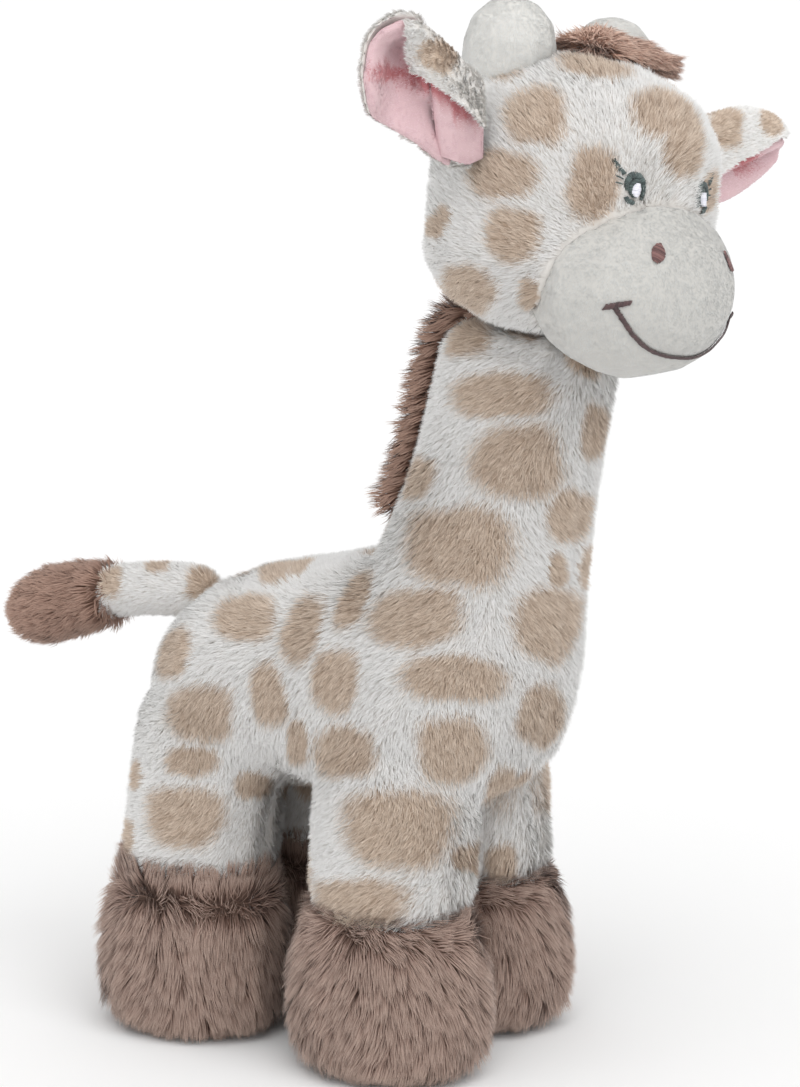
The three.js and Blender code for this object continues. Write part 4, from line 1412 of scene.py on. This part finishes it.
# %% [markdown]
# ## Ears
# An ear is a leaf of plush with a smooth pink lining, folded over along its top edge and
# sewn into the side of the head. It hangs on its seam, so both layers ride on the ear's
# own body. The nearer ear's fold is a sheet of its own here: between two edges drawn in the
# picture, a grid of sight lines is laid a little in front of the cloth behind it, at depths
# smoothed by one curved surface.

# %% A smooth sheet over a fold
FOLD_UPPER_EDGE = ((404, 20), (418, 20), (433, 30), (449, 45), (465, 62), (482, 86))
FOLD_LOWER_EDGE = ((411, 71), (423, 77), (436, 85), (450, 94), (466, 106), (487, 128))
LINING_UPPER_EDGE = ((430, 78), (452, 88), (468, 100), (484, 114))
LINING_LOWER_EDGE = ((438, 155), (458, 162), (470, 164), (483, 158))
SHEET_THICKNESS = 0.7 * MM
SHEET_CLEARANCE = 1.3 * MM
SUNK_DEPTH = 1.4 * MM


def with_sheet(skin, others, edges, sunk, rows=16, columns=8):
    """The skin with one more smooth sheet of its cloth, which lies in front of everything
    between two edges drawn in the picture. Its sunk rows or columns dip under the rest."""
    top_line, low_line = (np.array(line) for line in edges)
    lines, room = [], []
    for row in np.linspace(0, 1, rows):
        at = np.linspace(0, 1, len(top_line))
        top = np.array([np.interp(row, at, top_line[:, axis]) for axis in (0, 1)])
        edge = np.array([np.interp(row, at, low_line[:, axis]) for axis in (0, 1)])
        for share in np.linspace(0, 1, columns):
            line = unit(sight_line(*(top + (edge - top) * share)))
            under = [cloth.hit(camera_spot, line)[0] for cloth in (skin, *others)]
            under = [np.linalg.norm(spot - camera_spot) for spot in under if spot is not None]
            lines.append(line)
            room.append(min(under) if under else np.nan)
    lines, room = np.array(lines), np.array(room)
    r, c = (grid.reshape(-1) for grid in np.meshgrid(
        np.linspace(-1, 1, rows), np.linspace(-1, 1, columns), indexing="ij"))
    terms = np.stack([np.ones_like(r), r, c, r * c, r * r, c * c], axis=1)
    known = ~np.isnan(room)
    smooth = terms @ np.linalg.lstsq(terms[known], room[known], rcond=None)[0]
    smooth -= np.quantile((smooth - room)[known], 0.93) + SHEET_CLEARANCE
    smooth[sunk] += SUNK_DEPTH
    front = camera_spot + lines * smooth[:, None]
    back = front - camera_back * SHEET_THICKNESS
    sheet = np.arange(rows * columns).reshape(rows, columns)
    quads = [(sheet[r, c], sheet[r, c + 1], sheet[r + 1, c + 1], sheet[r + 1, c])
             for r in range(rows - 1) for c in range(columns - 1)]
    quads += [tuple(corner + rows * columns for corner in reversed(quad)) for quad in quads]
    rim = [*sheet[0], *sheet[1:, -1], *sheet[-1, -2::-1], *sheet[-2:0:-1, 0]]
    quads += [(b, a, a + rows * columns, b + rows * columns)
              for a, b in zip(rim, rim[1:] + rim[:1])]
    quads = np.array(quads) + len(skin.points)
    triangles = np.concatenate([skin.triangles, quads[:, [0, 1, 2]], quads[:, [0, 2, 3]]])
    return Skin(np.concatenate([skin.points, front, back]), triangles)


print("a sheet reaches", round(SUNK_DEPTH / MM, 1), "mm back along its sunk edges")

# %% [markdown]
# The plush of an ear is shorter than the body's, so that the thin edge still looks thin, and
# none grows against the lining. Where the lining folds, its nap is painted a deeper pink, as
# shade in the crease.

# %% Ears
EAR_SPOTS = {
    "right": ((437, 56, 40, 30, 20), (405, 40, 14, 12, 0)),
    "left": ((724, 128, 34, 44, 5), (771, 122, 26, 28, 10), (790, 135, 10, 16, 0)),
}
# Places in the picture where the lining is painted a deeper pink, as shade in its creases.
EAR_CREASE_SHADE = {
    "right": ((390, 73, 42, 8, 8), (425, 84, 50, 12, 26), (458, 106, 44, 14, 40)),
    "left": ((740, 160, 52, 8, -4),),
}
LINING_REACH = 1.7 * MM

for side, outwards, seed in (("left", 1.0, 71), ("right", -1.0, 72)):
    ear_skin = rounded_skin([f"ear_plush_{side}"], 0.9, 6, swell=0.1)
    lining_skin = rounded_skin([f"ear_lining_{side}"], 0.6, 14, swell=0.75)
    ear_skin.push(np.full(len(ear_skin.points), -0.7 * MM))
    if side == "right":
        lining_edges = (LINING_UPPER_EDGE, LINING_LOWER_EDGE)
        fold_edges = (FOLD_UPPER_EDGE, FOLD_LOWER_EDGE)
        lining_skin = with_sheet(lining_skin, [ear_skin], lining_edges, slice(0, 8))
        ear_skin = with_sheet(ear_skin, [lining_skin], fold_edges, slice(0, None, 8))
    to_tip = brushed_one_way((outwards, 0.0, 0.0))

    def off_lining(points, facing):
        """Plush grows outwards, and none where the cloth faces the lining."""
        nearest = [lining_skin.tree.find_nearest(Vector(point)) for point in points]
        toward = np.array([place[0] for place in nearest]) - points
        gaps = np.array([place[3] for place in nearest])
        facing_lining = (toward * facing).sum(axis=1) > -0.6 * gaps
        return np.where(facing_lining & (gaps < LINING_REACH), 0.0, 1.0)

    strands = grow(ear_skin, 26000, seed, PLUSH_LENGTH - 1.6, PLUSH_WIDTH, (60, 60), to_tip,
                   parts=1, tuft=14, pull=0.42, weight=off_lining, twist=0.25)
    piece = pile_piece(f"ear_plush_pile_{side}", ear_skin, strands, plush_finish,
                       spots_seen(ear_skin, EAR_SPOTS[side]), calm=0.3)
    finish_piece(piece, f"ear_{side}", (f"ear_plush_{side}",))
    strands = grow_nap(lining_skin, 12000, seed + 10, to_tip)
    # Its deeper pink patches are painted shade in the lining's creases.
    piece = pile_piece(f"ear_lining_nap_{side}", lining_skin, strands, pink_finish,
                       spots_seen(lining_skin, EAR_CREASE_SHADE[side]), softness=0.45, calm=NAP_CALM)
    finish_piece(piece, f"ear_{side}", (f"ear_lining_{side}",))

# %% [markdown]
# ## Tail
# The tail is a stuffed tube of the spotted plush that ends in a tuft of brown pile. It
# bends at its root, so all of it rides on the tail's body. The tuft hides the tube's end, so
# the tube is drawn back to where the tuft starts, and the tuft is slid up over it.

# %% Tail
TUBE_END_X = 103
TUFT_SLID = 10
TAIL_SPOTS = ((203, 585, 34, 40, 0), (158, 566, 24, 20, 0), (112, 578, 22, 44, 0))
tail_skin = rounded_skin(["tail_cover", "tail_filling"], 1.2, 6)
tuft_skin = rounded_skin(["tail_tuft"], 1.2, 8)
to_body = unit(tail_skin.points.mean(axis=0) - tuft_skin.points.mean(axis=0))
x, y, distance = in_picture(tail_skin.points)
drawn_back = np.maximum(TUBE_END_X - x, 0) * distance / FOCUS_PIXELS
tail_skin.points += np.outer(drawn_back / (to_body @ camera_right), to_body)
tail_skin.refresh()


def off_the_tuft(points, facing):
    return np.where(in_picture(points)[0] < TUBE_END_X + 0.5, 0.0, 1.0)


down_the_tail = brushed_one_way((0.0, 1.0, -0.25))
strands = grow_plush(tail_skin, 16000, 81, down_the_tail, shorter=0.9, weight=off_the_tuft)
piece = pile_piece("tail_plush", tail_skin, strands, plush_finish,
                   spots_seen(tail_skin, TAIL_SPOTS))
finish_piece(piece, "tail", ("tail_cover",))

tuft_skin.push(np.full(len(tuft_skin.points), -0.4 * MM))
tuft_skin.points += to_body * TUFT_SLID * MM
tuft_skin.refresh()
strands = grow(tuft_skin, 14000, 82, 7, 0.28, (35, 80), down_the_tail, parts=3, tuft=16,
               pull=0.5)
piece = pile_piece("tail_tuft_pile", tuft_skin, strands, mane_finish)
finish_piece(piece, "tail", ("tail_tuft",))
